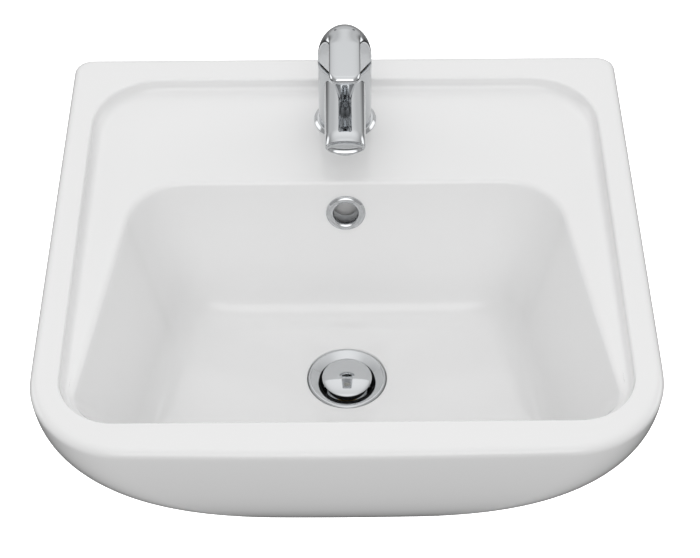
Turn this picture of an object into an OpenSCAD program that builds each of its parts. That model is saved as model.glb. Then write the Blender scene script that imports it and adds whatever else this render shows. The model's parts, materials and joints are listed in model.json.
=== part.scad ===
// Wall-hung hand basin with a push-open waste, an overflow and a single-lever mixer tap.
// Millimetres. The origin is halfway between the two wall-bolt holes, on the wall's face.
// +X is to the right seen from the front, +Y is towards the wall, +Z is up.

/* [Basin outside] */
// Overall width
basin_width = 450; // [420:1:600]
// Wall to front edge
basin_depth = 423; // [400:1:520]
// Rim's top above the wall bolts
rim_top = 65; // [55:1:85]
// Radius on the rim's outer edge
rim_round = 6; // [3:0.5:9]
// Radius of the rear corners in plan
rear_corner = 13; // [8:1:40]
// Radius of the front corners in plan
front_corner = 70; // [50:1:100]
// How much the front corners open up towards the foot
front_corner_gain = 129; // [60:1:150]
// How far the front edge bows out in the middle
front_bow = 4.4; // [0:0.2:10]
// Half width of the foot
foot_half = 82; // [74:1:110]
// Waste axis to the foot's front edge
foot_ahead = 76; // [60:1:90]
// Waste flange's rim down to the foot
foot_drop = 45; // [42:1:60]
// Roundness of the belly towards the front
belly_front_power = 1.6; // [1.5:0.1:2.4]
// Roundness of the belly towards the sides
belly_side_power = 1.9; // [1.7:0.1:2.6]

/* [Basin inside] */
// Rim width at each side
rim_side = 19; // [16:1:26]
// Rim width at the back
rim_back = 27; // [20:1:40]
// Rim width at the front
rim_front = 29; // [24:1:40]
// Radius of the rim's inner rear corners in plan
rim_rear_corner = 54; // [44:1:64]
// Radius of the rim's inner front corners in plan
rim_front_corner = 44; // [36:1:54]
// Tap deck below the rim's top
deck_drop = 11; // [7:1:16]
// Coved step from the rim in to the deck
deck_step = 8; // [5:1:10]
// Ledge beside the bowl at the back
ledge_back = 28; // [22:1:40]
// Ledge beside the bowl at the front
ledge_front = 10; // [9:1:16]
// Ledge between the deck's front edge and the bowl
ledge_nose = 8; // [6:1:14]
// Wall to the rear edge of the bowl
bowl_back = 141; // [130:1:160]
// Radius of the bowl's rear corners in plan
bowl_rear_corner = 45; // [36:1:60]
// Radius of the bowl's front corners in plan
bowl_front_corner = 38; // [30:1:50]
// Deck down to the foot of the bowl's walls
bowl_drop = 121; // [100:1:135]
// How far the rear wall leans in on its way down
rear_lean = 26; // [18:1:34]
// How far the side walls lean in on their way down
side_lean = 30; // [22:1:40]
// How far the front wall leans in on its way down
front_lean = 25; // [18:1:34]
// Radius from the deck into the bowl
lip_round = 8; // [5:0.5:9]
// Radius from the walls into the floor
floor_round = 28; // [18:1:34]
// Fall from the foot of the walls to the waste flange's rim
floor_drop = 8; // [6:1:14]
// Thickness of the vitreous china
china = 9; // [7:0.5:12]
// Thickness of the tap deck
deck_china = 12; // [9:1:16]
// Thickness behind the wall bolts
wall_china = 13; // [10:1:20]
// Width of the arch in the back, up to the tap deck
arch_width = 140; // [110:2:170]
// Width of the opening in the back below the wall bolts
back_width = 250; // [190:2:270]
// China left between the wall bolts and the opening below them
bolt_pad = 30; // [22:1:40]

/* [Wall bolts and overflow] */
// Distance between the wall bolts
bolt_spacing = 280; // [210:1:300]
// Wall-bolt hole radius
bolt_hole_r = 8; // [6:0.5:10]
// Deck down to the overflow hole's centre
overflow_drop = 28; // [22:1:34]
// Overflow hole radius
overflow_hole_r = 11; // [9:0.5:13]
// Overflow ring's width outside the hole
overflow_lip = 4.7; // [3:0.1:7]
// Inside width of the overflow channel
duct_width = 24; // [18:1:30]
// Inside depth of the overflow channel
duct_gap = 12; // [9:1:14]

/* [Waste] */
// Rear edge of the bowl to the waste's axis
waste_ahead = 92; // [86:1:110]
// Plug radius
plug_r = 20; // [19:0.25:21]
// How far the plug travels when pushed
plug_travel = 6; // [4:0.5:8]
// Width of the flange outside the hole in the china
flange_lip = 8.4; // [7:0.2:11]
// Outside radius of the G 1 1/4 thread
waste_thread_r = 20.955; // [20.8:0.005:21.1]
// Bore of the waste body
waste_bore_r = 17.8; // [16.5:0.1:18.5]
// Free thread below the nut
waste_tail = 29.5; // [20:0.5:45]
// Waste nut's height
waste_nut_height = 10; // [7:0.5:14]

/* [Tap] */
// Tap axis from the wall
tap_from_wall = 66.5; // [60:0.5:80]
// Tap hole radius
tap_hole_r = 17.5; // [17:0.25:18.5]
// Column radius
column_r = 21.4; // [20.5:0.1:24]
// Deck to the gap under the handle
column_height = 61; // [55:1:90]
// Gap under the handle to the handle's top
handle_rise = 27; // [25:0.5:32]
// Base ring's width outside the column
base_flare = 3.85; // [2:0.05:8]
// Tap axis to the spout's nose
spout_reach = 97; // [90:1:125]
// Spout's width at the column
spout_width = 33; // [30:0.5:38]
// Spout's height at the column
spout_root = 28; // [25:0.5:30]
// Spout's height near the nose
spout_tip = 18.5; // [17:0.5:22]
// Nose to the aerator's axis
aerator_back = 23.5; // [20:0.5:30]
// Aerator housing radius
aerator_r = 12; // [11.5:0.1:13]
// Tap axis to the lever's tip
lever_reach = 58; // [45:1:90]
// Lever's width
lever_width = 24; // [18:0.5:30]
// Highest lift of the lever, in degrees
lever_lift = 25; // [18:1:27]
// Radius of the 35 mm cartridge's seat in the column
cartridge_r = 17.9; // [17.6:0.1:18.4]
// Hose thread's minor radius
inlet_r = 4.46; // [4:0.02:5]
// Fixing stud radius
stud_r = 4; // [3:0.5:5]
// Fixing stud's length below the deck
stud_length = 48; // [36:1:80]

/* [Hidden] */
$fn = 96;

// Clearances: a close fit, a running fit and a loose fit, on the radius
close_fit = 0.05;
running_fit = 0.1;
loose_fit = 0.3;
past = 1;

// Points along the parts of a plan outline
rear_steps = 6;
side_steps = 3;
front_steps = 10;
flat_steps = 3;

// Heights in the basin
skin_top = rim_top - rim_round;
deck_z = rim_top - deck_drop;
deck_under = deck_z - deck_china;
bowl_foot_z = deck_z - bowl_drop;
flange_z = bowl_foot_z - floor_drop;
foot_z = flange_z - foot_drop;
seal_height = 1;
flange_height = 6;
seat_z = flange_z - flange_height - seal_height;

// Places in plan
waste_y = -bowl_back - waste_ahead;
tap_y = -tap_from_wall;
foot_front = -waste_y + foot_ahead;

// Radii round the waste
low_seal_height = 6;
slip_ring_height = 1.5;
nut_top_z = foot_z - low_seal_height - slip_ring_height;
waste_root_r = plug_r + 2.4;
waste_hole_r = waste_root_r + 2 * loose_fit;
flange_r = waste_hole_r + flange_lip;
recess_r = flange_r + 0.5;
boss_wall = 19;
boss_r = waste_hole_r + boss_wall;

// Plan outlines are [rear half width, front half width, back y, front y, rear radius, front radius]
rim_half = basin_width / 2 - rim_side;
rim_inner = [rim_half, rim_half - 1, -rim_back, -basin_depth + rim_front,
             rim_rear_corner, rim_front_corner];
deck_edge = rim_inner + deck_step * [-1, -0.6, -1, 0.4, -0.75, -0.5];
bowl_mouth = [deck_edge[0] - ledge_back, deck_edge[1] - ledge_front, -bowl_back,
              deck_edge[3] + ledge_nose, bowl_rear_corner, bowl_front_corner];
bowl_foot = bowl_mouth + [-side_lean, -side_lean - 2, -rear_lean, front_lean, -5, front_lean / 2];
seat_half = recess_r + 0.5;
seat_ring = [seat_half, seat_half, waste_y + seat_half, waste_y - seat_half, recess_r, recess_r];

// Slopes of the bowl
wall_lean = 28;
wall_angle = atan2(bowl_drop, wall_lean);
floor_fall = 3;
rear_wall_angle = atan2(bowl_drop, rear_lean);
overflow_z = deck_z - overflow_drop;
overflow_y = -bowl_back - rear_lean * overflow_drop / bowl_drop;

// Heights in the waste, down from the flange's rim
throat_low = plug_travel + 2;
cone_low = throat_low + 3;
slot_high = 16.5;
slot_low = 30.5;
slot_r = 3.5;
collar_low = 30;
spring_solid = 6.5;
barrel_floor = collar_low + plug_travel + spring_solid;
stem_r = 3;
collar_r = 5.6;
barrel_r = 7.9;

// Heights in the tap, up from the deck
base_height = 3.2;
gasket_height = 1.2;
cartridge_height = 23;
cartridge_z = column_height - cartridge_height;
disc_z = cartridge_z + 7;
pivot_rise = 19.5;
pivot_z = cartridge_z + pivot_rise;
handle_z = column_height + 1;
handle_height = column_height + handle_rise;
screw_z = handle_height - 13;
stem_half = 3.8;
hub_r = 7;
inlet_x = 7.2;
inlet_y = -3.5;
inlet_depth = 10.8;
port_r = 2.9;
outlet_y = 4.2;
outlet_r = 3;
stud_y = 12.5;
stud_depth = 12.8;
mark_x = 7.2;
mark_y = 5;

// Spout and aerator
spout_end = spout_reach - 9;
aerator_reach = spout_reach - aerator_back;
aerator_tilt = 8;
aerator_z = spout_low((aerator_reach - 10) / (spout_end - 10)) + 0.3;
thread_r = aerator_r - 1;

function mix(a, b, k) = a + (b - a) * k;

// Closed plan outline at one height, clockwise seen from above, starting at the back's middle
function outline(v, z, bow = 0) =
    let (right = [
        [0, v[2]],
        for (i = [0 : rear_steps])
            let (a = 90 * (1 - i / rear_steps))
            [v[0] - v[4] + v[4] * cos(a), v[2] - v[4] + v[4] * sin(a)],
        for (i = [1 : side_steps - 1])
            mix([v[0], v[2] - v[4]], [v[1], v[3] + v[5]], i / side_steps),
        for (i = [0 : front_steps])
            let (a = -90 * i / front_steps)
            [v[1] - v[5] + v[5] * cos(a), v[3] + v[5] + v[5] * sin(a)],
        for (i = [1 : flat_steps])
            [(v[1] - v[5]) * (1 - i / flat_steps), v[3]]
    ])
    let (left = [for (i = [len(right) - 2 : -1 : 1]) [-right[i][0], right[i][1]]])
    [for (p = concat(right, left))
        let (front_share = max(0, (v[3] + v[5] - p[1]) / v[5]))
        [p[0], p[1] - bow * front_share * (1 - pow(p[0] / v[1], 2)), z]];

// Rounded rectangle in a plane across Y, counter-clockwise seen from the front
function section(y, half_width, z_low, z_high, r, steps = 5) =
    let (mid = (z_low + z_high) / 2)
    let (half_height = (z_high - z_low) / 2)
    [for (q = [0 : 3], i = [0 : steps])
        let (a = 90 * q + 90 * i / steps)
        [(q == 0 || q == 3 ? 1 : -1) * (half_width - r) + r * cos(a), y,
         mid + (q < 2 ? 1 : -1) * (half_height - r) + r * sin(a)]];

// Solid through a list of outlines with equal numbers of points
module loft(rings) {
    n = len(rings[0]);
    last = (len(rings) - 1) * n;
    sides = [for (j = [0 : len(rings) - 2], i = [0 : n - 1])
        let (a = j * n + i)
        let (b = j * n + (i + 1) % n)
        each [[b, a, a + n], [b, a + n, b + n]]];
    polyhedron(
        points = [for (r = rings) each r],
        faces = concat(
            [[for (i = [0 : n - 1]) i]],
            sides,
            [[for (i = [n - 1 : -1 : 0]) last + i]]
        ),
        convexity = 8
    );
}

module ring(inner, outer, z_low, z_high) {
    translate([0, 0, z_low])
        difference() {
            cylinder(r = outer, h = z_high - z_low);
            translate([0, 0, -past])
                cylinder(r = inner, h = z_high - z_low + 2 * past);
        }
}

module at_waste(z = 0) {
    translate([0, waste_y, z])
        children();
}

module at_tap(z = 0) {
    translate([0, tap_y, deck_z + z])
        children();
}

module at_overflow() {
    translate([0, overflow_y, overflow_z])
        rotate([rear_wall_angle, 0, 0])
            children();
}

module at_aerator() {
    at_tap(aerator_z)
        translate([0, -aerator_reach, 0])
            rotate([-aerator_tilt, 0, 0])
                children();
}

// Outline of the outer skin, or of the hollow behind it when it is set in by a wall's thickness
function skin_outline(s, inset, back_inset) =
    let (front_share = pow(max(0, 1 - pow(s, belly_front_power)), 1 / belly_front_power))
    let (side_share = pow(max(0, 1 - pow(s, belly_side_power)), 1 / belly_side_power))
    let (half = mix(foot_half, basin_width / 2, side_share) - inset)
    let (y_front = -mix(foot_front, basin_depth - front_bow, front_share) + inset)
    let (corner = min(front_corner + front_corner_gain * (1 - side_share), half * 0.98) - inset / 3)
    outline([half, half, -back_inset, y_front, rear_corner, corner],
            skin_top - (skin_top - foot_z - inset) * s, front_bow);

module skin() {
    steps = 10;
    rounded = [for (i = [0 : 3])
        let (a = 90 - 30 * i)
        let (inset = rim_round * (1 - cos(a)))
        outline([basin_width / 2 - inset, basin_width / 2 - inset, -inset,
                 -basin_depth + front_bow + inset, rear_corner, front_corner],
                skin_top + rim_round * sin(a), front_bow)];
    belly = [for (i = [1 : steps]) skin_outline(sin(90 * i / steps), 0, 0)];
    loft(concat(rounded, belly));
}

// Shallow pocket from the rim down to the tap deck; each step is [share of the cove, share of the drop]
module deck_pocket() {
    cove = [[-0.5, -1], [-0.5, 0], [-0.1, 0.07], [0.15, 0.27], [0.6, 0.73], [0.85, 0.93], [1.2, 1]];
    loft([for (step = cove)
        outline(mix(rim_inner, deck_edge, step[0]), rim_top - deck_drop * step[1])]);
}

// Outline of the bowl, set in from its mouth
function bowl_ring(inset, z) = outline(mix(bowl_mouth, bowl_foot, inset / wall_lean), z);

// Fillet from the bowl's walls into its floor; grow sets it out by a wall's thickness
function bowl_floor_rings(grow) =
    let (tangent = floor_round * tan((wall_angle - floor_fall) / 2))
    let (centre_in = wall_lean - tangent * cos(wall_angle) + floor_round * sin(wall_angle))
    let (centre_z = bowl_foot_z + tangent * sin(wall_angle) + floor_round * cos(wall_angle))
    let (radius = floor_round + grow)
    [for (i = [0 : 5])
        let (a = mix(wall_angle, floor_fall, i / 5))
        bowl_ring(centre_in - radius * sin(a), centre_z - radius * cos(a))];

function bowl_lip_rings() =
    let (tangent = lip_round * tan(wall_angle / 2))
    [for (i = [0 : 3])
        let (a = wall_angle * i / 3)
        bowl_ring(-tangent + lip_round * sin(a), deck_z - lip_round + lip_round * cos(a))];

module bowl() {
    floor_end = mix(bowl_mouth, bowl_foot, 1.75);
    loft(concat(
        [bowl_ring(-lip_round * tan(wall_angle / 2), deck_z + past)],
        bowl_lip_rings(),
        bowl_floor_rings(0),
        [outline(mix(floor_end, seat_ring, 0.5), flange_z + 0.4 * floor_drop)],
        [outline(seat_ring, flange_z - 0.3)]
    ));
}

// Bowl with its walls, solid, as it stands in the hollow
module bowl_shell() {
    spread = boss_r - recess_r + 4;
    above = 8;
    loft(concat(
        [bowl_ring(-china / sin(wall_angle) - above / tan(wall_angle), deck_z + above)],
        bowl_floor_rings(china),
        [outline(seat_ring + spread * [1, 1, 1, -1, 1, 1], flange_z - china - 6)]
    ));
}

// Hollow behind and below the bowl, open to the wall and at the rear of the foot
module hollow() {
    steps = 8;
    start = asin((skin_top - deck_under) / (skin_top - foot_z - china));
    loft([for (i = [0 : steps])
        skin_outline(sin(mix(start, 90, i / steps)), china, wall_china)]);
    arch_front = -waste_y - boss_r - 20;
    arch_half = arch_width / 2;
    back_half = back_width / 2;
    translate([-arch_half, -arch_front, foot_z - past])
        cube([arch_width, arch_front + past, deck_under - 17 - foot_z + past]);
    translate([0, past, 0])
        rotate([90, 0, 0])
            linear_extrude(wall_china + 2 * past)
                polygon([
                    [-arch_half, 0], [arch_half, 0],
                    [arch_half, -bolt_pad], [back_half, -bolt_pad - 8],
                    [back_half, foot_z + 38], [arch_half, foot_z + 20],
                    [-arch_half, foot_z + 20], [-back_half, foot_z + 38],
                    [-back_half, -bolt_pad - 8], [-arch_half, -bolt_pad]
                ]);
}

// Channel behind the bowl from the overflow hole to the waste, seen from the side.
// near and far are its faces' distances from the rear wall's face, toe is how close it comes to the waste
module duct(half_width, near, far, top, floor_high, floor_low, toe) {
    knee_z = bowl_foot_z + 7;
    function rear(z, off) = -bowl_back - rear_lean * (deck_z - z) / bowl_drop + off;
    rotate([90, 0, 90])
        translate([0, 0, -half_width])
            linear_extrude(2 * half_width)
                polygon([
                    [rear(top, near), top],
                    [rear(top, far), top],
                    [rear(knee_z, far), knee_z],
                    [rear(knee_z, far) - 3, floor_low + 14],
                    [rear(knee_z, far) - 14, floor_low],
                    [toe, floor_low],
                    [toe, floor_high],
                    [rear(knee_z, near) - 16, floor_high],
                    [rear(knee_z, near), knee_z - 2]
                ]);
}

module duct_body() {
    duct(duct_width / 2 + china, 2, duct_gap + 2 * china - 1, overflow_z + duct_gap + 14,
         bowl_foot_z + 5, flange_z - slot_low - china, waste_y + waste_hole_r - 3);
}

module duct_space() {
    duct(duct_width / 2, china - 1, china - 1 + duct_gap, overflow_z + 14,
         flange_z - slot_high, flange_z - slot_high - duct_gap, waste_y + waste_hole_r - 8);
}

module basin_china() {
    difference() {
        skin();
        deck_pocket();
        bowl();
        difference() {
            hollow();
            bowl_shell();
            at_waste(foot_z - past)
                cylinder(r = boss_r, h = foot_drop, $fn = 48);
            duct_body();
            translate([-100, -200, deck_under])
                cube([200, 200, deck_china]);
        }
        duct_space();
        at_waste(foot_z - past)
            cylinder(r = waste_hole_r - 3, h = foot_drop + floor_drop, $fn = 24);
    }
}

module basin() {
    color("white")
        difference() {
            resize([0, 0, 0])
                basin_china();
            at_waste(foot_z - past)
                cylinder(r = waste_hole_r, h = foot_drop + floor_drop);
            at_waste(seat_z)
                cylinder(r = recess_r, h = 2 * floor_drop + flange_height);
            at_tap(-deck_china - past)
                cylinder(r = tap_hole_r, h = deck_china + 2 * past);
            at_overflow()
                translate([0, 0, -china - 5])
                    cylinder(r = overflow_hole_r, h = 2 * china + 10);
            for (side = [-1, 1])
                translate([side * bolt_spacing / 2, past, 0])
                    rotate([90, 0, 0])
                        cylinder(r = bolt_hole_r, h = wall_china + 2 * past);
        }
}

// Chromed trim ring with a short tube that plugs into the overflow hole
module overflow_ring() {
    tube_r = overflow_hole_r - running_fit;
    bore_r = overflow_hole_r - 1.4;
    lip_r = overflow_hole_r + overflow_lip;
    color("silver")
        at_overflow()
            rotate_extrude()
                polygon([
                    [bore_r, -china - 2], [tube_r, -china - 2], [tube_r, 0], [lip_r, 0],
                    [lip_r, 1.2], [lip_r - 0.5, 2], [lip_r - 1.5, 2.6],
                    [bore_r + 2.8, 2.8], [bore_r + 1.2, 2.2], [bore_r, 0.8]
                ]);
}

// Dished flange, throat with the plug's seat, slotted tube and the cross that holds the latch
module waste_body() {
    thread_end = flange_z - nut_top_z + waste_nut_height + 3.5;
    bottom = thread_end + waste_tail - 3.5;
    dish_r = plug_r + 1.9;
    throat_r = plug_r + 0.9;
    groove_r = waste_thread_r - 1;
    color("silver")
        at_waste(flange_z) {
            difference() {
                rotate_extrude()
                    polygon([
                        [waste_bore_r, -cone_low], [waste_bore_r, -bottom], [groove_r, -bottom],
                        [waste_thread_r, -bottom + 1], [waste_thread_r, -thread_end],
                        [groove_r, -thread_end], [groove_r, -thread_end + 2],
                        [waste_thread_r, -thread_end + 2], [waste_thread_r, -cone_low - 1],
                        [waste_root_r, -cone_low], [waste_root_r, -flange_height],
                        [flange_r, -flange_height], [flange_r, -1.6], [flange_r - 0.8, -0.5],
                        [flange_r - 2.2, 0], [dish_r, -3.6], [throat_r, -4.8],
                        [throat_r, -throat_low]
                    ]);
                for (quarter = [0 : 3])
                    rotate([0, 0, 90 * quarter])
                        overflow_slot();
            }
            ring(barrel_r + running_fit, barrel_r + 2.6, -barrel_floor - 0.5, -barrel_floor + 5.5);
            for (rib = [0 : 2])
                rotate([0, 0, 120 * rib + 90])
                    translate([barrel_r + 1.6, -1.1, -barrel_floor - 0.5])
                        cube([waste_bore_r - barrel_r - 1, 2.2, 5]);
        }
}

module overflow_slot() {
    inner = waste_bore_r - 3;
    for (z = [-slot_low + slot_r, -slot_high - slot_r])
        translate([inner, 0, z])
            rotate([0, 90, 0])
                cylinder(r = slot_r, h = 10);
    translate([inner, -slot_r, -slot_low + slot_r])
        cube([10, 2 * slot_r, slot_low - slot_high - 2 * slot_r]);
}

module waste_top_seal() {
    color("dimgray")
        at_waste()
            ring(waste_hole_r + 0.2, flange_r - 0.8, seat_z, seat_z + seal_height);
}

// Tapered washer under the foot, with a spigot that centres it in the waste hole
module waste_low_seal() {
    bore = waste_thread_r + running_fit;
    spigot = waste_hole_r - 2 * running_fit;
    lip = waste_hole_r + 10;
    color("dimgray")
        at_waste(foot_z)
            rotate_extrude()
                polygon([
                    [bore, 4], [bore + 0.8, 4], [spigot, 2], [spigot, 0],
                    [lip, 0], [lip, -0.4 * low_seal_height],
                    [lip - 4, -low_seal_height], [bore, -low_seal_height]
                ]);
}

module waste_slip_ring() {
    color("white")
        at_waste()
            ring(waste_thread_r + running_fit, waste_hole_r + 6.5,
                 nut_top_z, nut_top_z + slip_ring_height);
}

module waste_nut() {
    color("silver")
        at_waste(nut_top_z - waste_nut_height)
            difference() {
                cylinder(r = waste_thread_r + 8, h = waste_nut_height, $fn = 6);
                translate([0, 0, -past])
                    cylinder(r = waste_thread_r + close_fit, h = waste_nut_height + 2 * past);
            }
}

// Chromed cap with a core that carries the seal and a blind socket for the stem
module plug_cap() {
    core_r = plug_r - 8;
    color("silver")
        at_waste(flange_z)
            rotate_extrude()
                polygon([
                    [0, 2.1], [0.4 * plug_r, 2], [0.7 * plug_r, 1.7], [plug_r - 1.8, 1.2],
                    [plug_r - 0.4, 0.6], [plug_r, 0], [plug_r, -0.6], [plug_r - 0.5, -1],
                    [core_r, -1], [core_r, -4.5], [core_r + 2.5, -4.5], [core_r + 2.5, -5.5],
                    [stem_r + 4, -6], [stem_r + 4, -7.5],
                    [stem_r + close_fit, -7.5], [stem_r + close_fit, -3.5], [0, -3.5]
                ]);
}

module plug_seal() {
    core_r = plug_r - 8;
    color("dimgray")
        at_waste(flange_z)
            rotate_extrude()
                polygon([
                    [core_r + running_fit, -1], [plug_r - 1, -1], [plug_r - 1, -3],
                    [plug_r - 1.9, -4.2], [plug_r - 3, -4.5], [core_r + running_fit, -4.5]
                ]);
}

// Latch pin: it hangs from the plug and its collar runs in the barrel
module plug_stem() {
    color("khaki")
        at_waste(flange_z - collar_low) {
            cylinder(r = stem_r, h = collar_low - 3.5);
            cylinder(r = collar_r, h = 3);
        }
}

// Toothed ring that turns an eighth with each push and hooks under the barrel's cap
module latch_rotor() {
    color("white")
        at_waste(flange_z - collar_low + 3)
            difference() {
                cylinder(r = collar_r - 0.2, h = 4);
                translate([0, 0, -past])
                    cylinder(r = stem_r + running_fit, h = 6);
                for (tooth = [0 : 7])
                    rotate([0, 0, 45 * tooth])
                        translate([stem_r + 1.4, -0.7, 2.4])
                            cube([3, 1.4, 3]);
            }
}

module latch_barrel() {
    inside = collar_r + running_fit;
    shoulder = barrel_floor - 5.5;
    color("khaki")
        at_waste(flange_z)
            rotate_extrude()
                polygon([
                    [1.5, -barrel_floor - 2], [barrel_r - 1.4, -barrel_floor - 2],
                    [barrel_r, -barrel_floor - 1], [barrel_r, -shoulder],
                    [barrel_r + 2, -shoulder], [barrel_r + 2, -shoulder + 1.5],
                    [barrel_r, -shoulder + 1.5], [barrel_r, -17], [inside, -17],
                    [inside, -barrel_floor], [1.5, -barrel_floor]
                ]);
}

module latch_cap() {
    color("khaki")
        at_waste(flange_z)
            ring(stem_r + loose_fit, barrel_r, -17, -15.5);
}

// Compression spring between the barrel's floor and the pin's collar
module plug_spring() {
    wire = 0.45;
    coil_r = (stem_r + collar_r) / 2;
    turns = 5;
    per_turn = 14;
    color("gray")
        at_waste(flange_z)
            loft([for (i = [0 : turns * per_turn])
                let (a = 360 * i / per_turn)
                let (z = -mix(collar_low + wire, barrel_floor - wire, i / (turns * per_turn)))
                [for (k = [0 : 5])
                    let (r = coil_r + wire * cos(60 * k))
                    [r * cos(a), r * sin(a), z + wire * sin(60 * k)]]]);
}

module base_gasket() {
    color("dimgray")
        at_tap()
            ring(tap_hole_r + 1.5, column_r + 2, 0, gasket_height);
}

module base_ring() {
    outer = column_r + base_flare;
    groove = column_r + 2 + loose_fit;
    inner = tap_hole_r + 1;
    color("silver")
        at_tap()
            rotate_extrude()
                polygon([
                    [inner, gasket_height], [groove, gasket_height], [groove, 0], [outer, 0],
                    [outer, base_height - 1], [outer - 0.4, base_height - 0.4],
                    [outer - 1.2, base_height], [inner, base_height]
                ]);
}

// Top and underside of the spout, from the column to the end of its straight part
function spout_high(t) = column_height + mix(-2, 0, t);
function spout_low(t) = mix(column_height - 2 - spout_root, column_height - spout_tip, pow(t, 0.8));

module spout() {
    half = spout_width / 2;
    tip_half = half - 0.7;
    nose = [[0.44, 1.2, 0.6], [0.78, 2.6, 1.6], [0.93, 4.4, 3.2], [1, 6.4, 5]];
    loft(concat(
        [for (i = [0 : 6])
            let (t = i / 6)
            section(-mix(10, spout_end, t), mix(half, tip_half, t),
                    spout_low(t), spout_high(t), mix(13, 9, t) * spout_tip / 18.5)],
        [for (step = nose)
            section(-mix(spout_end, spout_reach, step[0]), tip_half - 0.45 * step[1],
                    spout_low(1) + step[1], spout_high(1) - step[2], 8.2 - 0.6 * step[1])]
    ));
}

module tap_body() {
    start_y = 9;
    start_z = cartridge_z - 1;
    run = aerator_reach - start_y;
    climb = aerator_z + 6 - start_z;
    color("silver")
        difference() {
            union() {
                at_tap()
                    spout();
                at_tap(base_height)
                    cylinder(r = column_r, h = column_height - base_height);
                at_aerator()
                    cylinder(r = aerator_r, h = 10);
            }
            at_tap(cartridge_z)
                cylinder(r = cartridge_r, h = column_height);
            for (side = [-1, 1])
                at_tap(base_height - past)
                    translate([side * inlet_x, inlet_y, 0]) {
                        cylinder(r = inlet_r, h = inlet_depth + past);
                        cylinder(r = port_r, h = column_height);
                    }
            at_tap(base_height - past)
                translate([0, stud_y, 0])
                    cylinder(r = stud_r + close_fit, h = stud_depth + past);
            at_tap(cartridge_z - outlet_r)
                translate([0, outlet_y, 0]) {
                    cylinder(r = outlet_r, h = 2 * outlet_r);
                    translate([-outlet_r, -start_y - outlet_y, 0])
                        cube([2 * outlet_r, start_y + outlet_y, 2 * outlet_r]);
                }
            at_tap(start_z)
                translate([0, -start_y, 0])
                    rotate([90 + atan2(climb, run), 0, 0])
                        cylinder(r = 4, h = norm([run, climb]));
            at_aerator()
                translate([0, 0, -6]) {
                    cylinder(r = thread_r + close_fit, h = 14);
                    cylinder(r = aerator_r + running_fit, h = 6);
                }
        }
}

module aerator_shell() {
    bore = thread_r - 1.2;
    color("silver")
        at_aerator()
            rotate_extrude()
                polygon([
                    [bore - 0.6, -4.6], [aerator_r - 0.6, -4.6], [aerator_r, -4], [aerator_r, 0],
                    [thread_r, 0], [thread_r, 6], [bore, 6], [bore, -3.6], [bore - 0.6, -3.6]
                ]);
}

module aerator_insert() {
    rows = 2;
    pitch = 3.6;
    color("white")
        at_aerator()
            difference() {
                translate([0, 0, -3.6])
                    cylinder(r = thread_r - 1.2 - running_fit, h = 9.4);
                for (row = [0 : rows], hole = [0 : max(0, 6 * row - 1)])
                    rotate([0, 0, 60 * hole / max(1, row)])
                        translate([pitch * row, 0, -5])
                            cylinder(r = 0.9, h = 12, $fn = 24);
            }
}

module aerator_washer() {
    color("dimgray")
        at_aerator()
            ring(6.5, thread_r - running_fit, 6, 8);
}

// Disc of the cartridge with the two inlet ports and the outlet port
module port_disc(r, z, height) {
    at_tap(z)
        difference() {
            cylinder(r = r, h = height);
            for (side = [-1, 1])
                translate([side * inlet_x, inlet_y, -past])
                    cylinder(r = port_r, h = height + 2 * past);
            translate([0, outlet_y, -past])
                cylinder(r = outlet_r, h = height + 2 * past);
        }
}

module port_gasket() {
    color("dimgray")
        port_disc(cartridge_r - 1.9, cartridge_z, 1);
}

module cartridge_base() {
    color("white")
        port_disc(cartridge_r - loose_fit, cartridge_z + 1, 3);
}

module disc_fixed() {
    color("ivory")
        port_disc(14.5, cartridge_z + 4, disc_z - cartridge_z - 4);
}

// Sliding ceramic disc, with the pocket that joins an inlet to the outlet
module disc_moving() {
    color("ivory")
        at_tap(disc_z + close_fit)
            difference() {
                cylinder(r = 11, h = 3 - close_fit);
                translate([0, outlet_y - 0.8, -past])
                    cylinder(r = 2 * outlet_r + 0.2, h = 1.4 + past);
            }
}

module slider() {
    color("white")
        at_tap(disc_z)
            ring(3.3, 9.5, 3, 5.4);
}

module cartridge_shell() {
    outer = cartridge_r - loose_fit;
    color("white")
        at_tap(cartridge_z)
            rotate_extrude()
                polygon([[15, 4], [outer, 4], [outer, 19], [9.2, 19], [9.2, 17], [15, 17]]);
}

// Turning part of the cartridge, with the slot that the lever's stem rocks in
module carrier() {
    slot = stem_half + 0.2;
    low = disc_z + 5.6;
    color("white")
        difference() {
            at_tap(low) {
                cylinder(r = 14.8, h = 4.3);
                cylinder(r = 9, h = 9.9);
            }
            at_tap(low - past)
                translate([-slot, -2 * stem_half, 0])
                    cube([2 * slot, 4 * stem_half, 12]);
            at_tap(pivot_z)
                rotate([0, 90, 0])
                    cylinder(r = 1.5, h = 40, center = true);
        }
}

module stem_pin() {
    color("gray")
        at_tap(pivot_z)
            rotate([0, 90, 0])
                cylinder(r = 1.48, h = 16, center = true);
}

// Square stem with a thin foot that pushes the slider
module lever_stem() {
    foot = disc_z + 3.6;
    top = screw_z + 1;
    color("khaki")
        difference() {
            union() {
                at_tap(foot + 4.9)
                    translate([-stem_half, -stem_half, 0])
                        cube([2 * stem_half, 2 * stem_half, top - foot - 4.9]);
                at_tap(foot)
                    cylinder(r = 2.2, h = 6);
            }
            at_tap(pivot_z)
                rotate([0, 90, 0])
                    cylinder(r = 1.55, h = 20, center = true);
        }
}

module cartridge_nut() {
    inner = 11;
    color("khaki")
        at_tap(column_height - 4)
            difference() {
                cylinder(r = cartridge_r - running_fit, h = 4);
                translate([0, 0, -past])
                    cylinder(r = inner, h = 6);
                for (notch = [0 : 5])
                    rotate([0, 0, 60 * notch])
                        translate([inner - 1, -1.5, 1.5])
                            cube([3.2, 3, 4]);
            }
}

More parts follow.
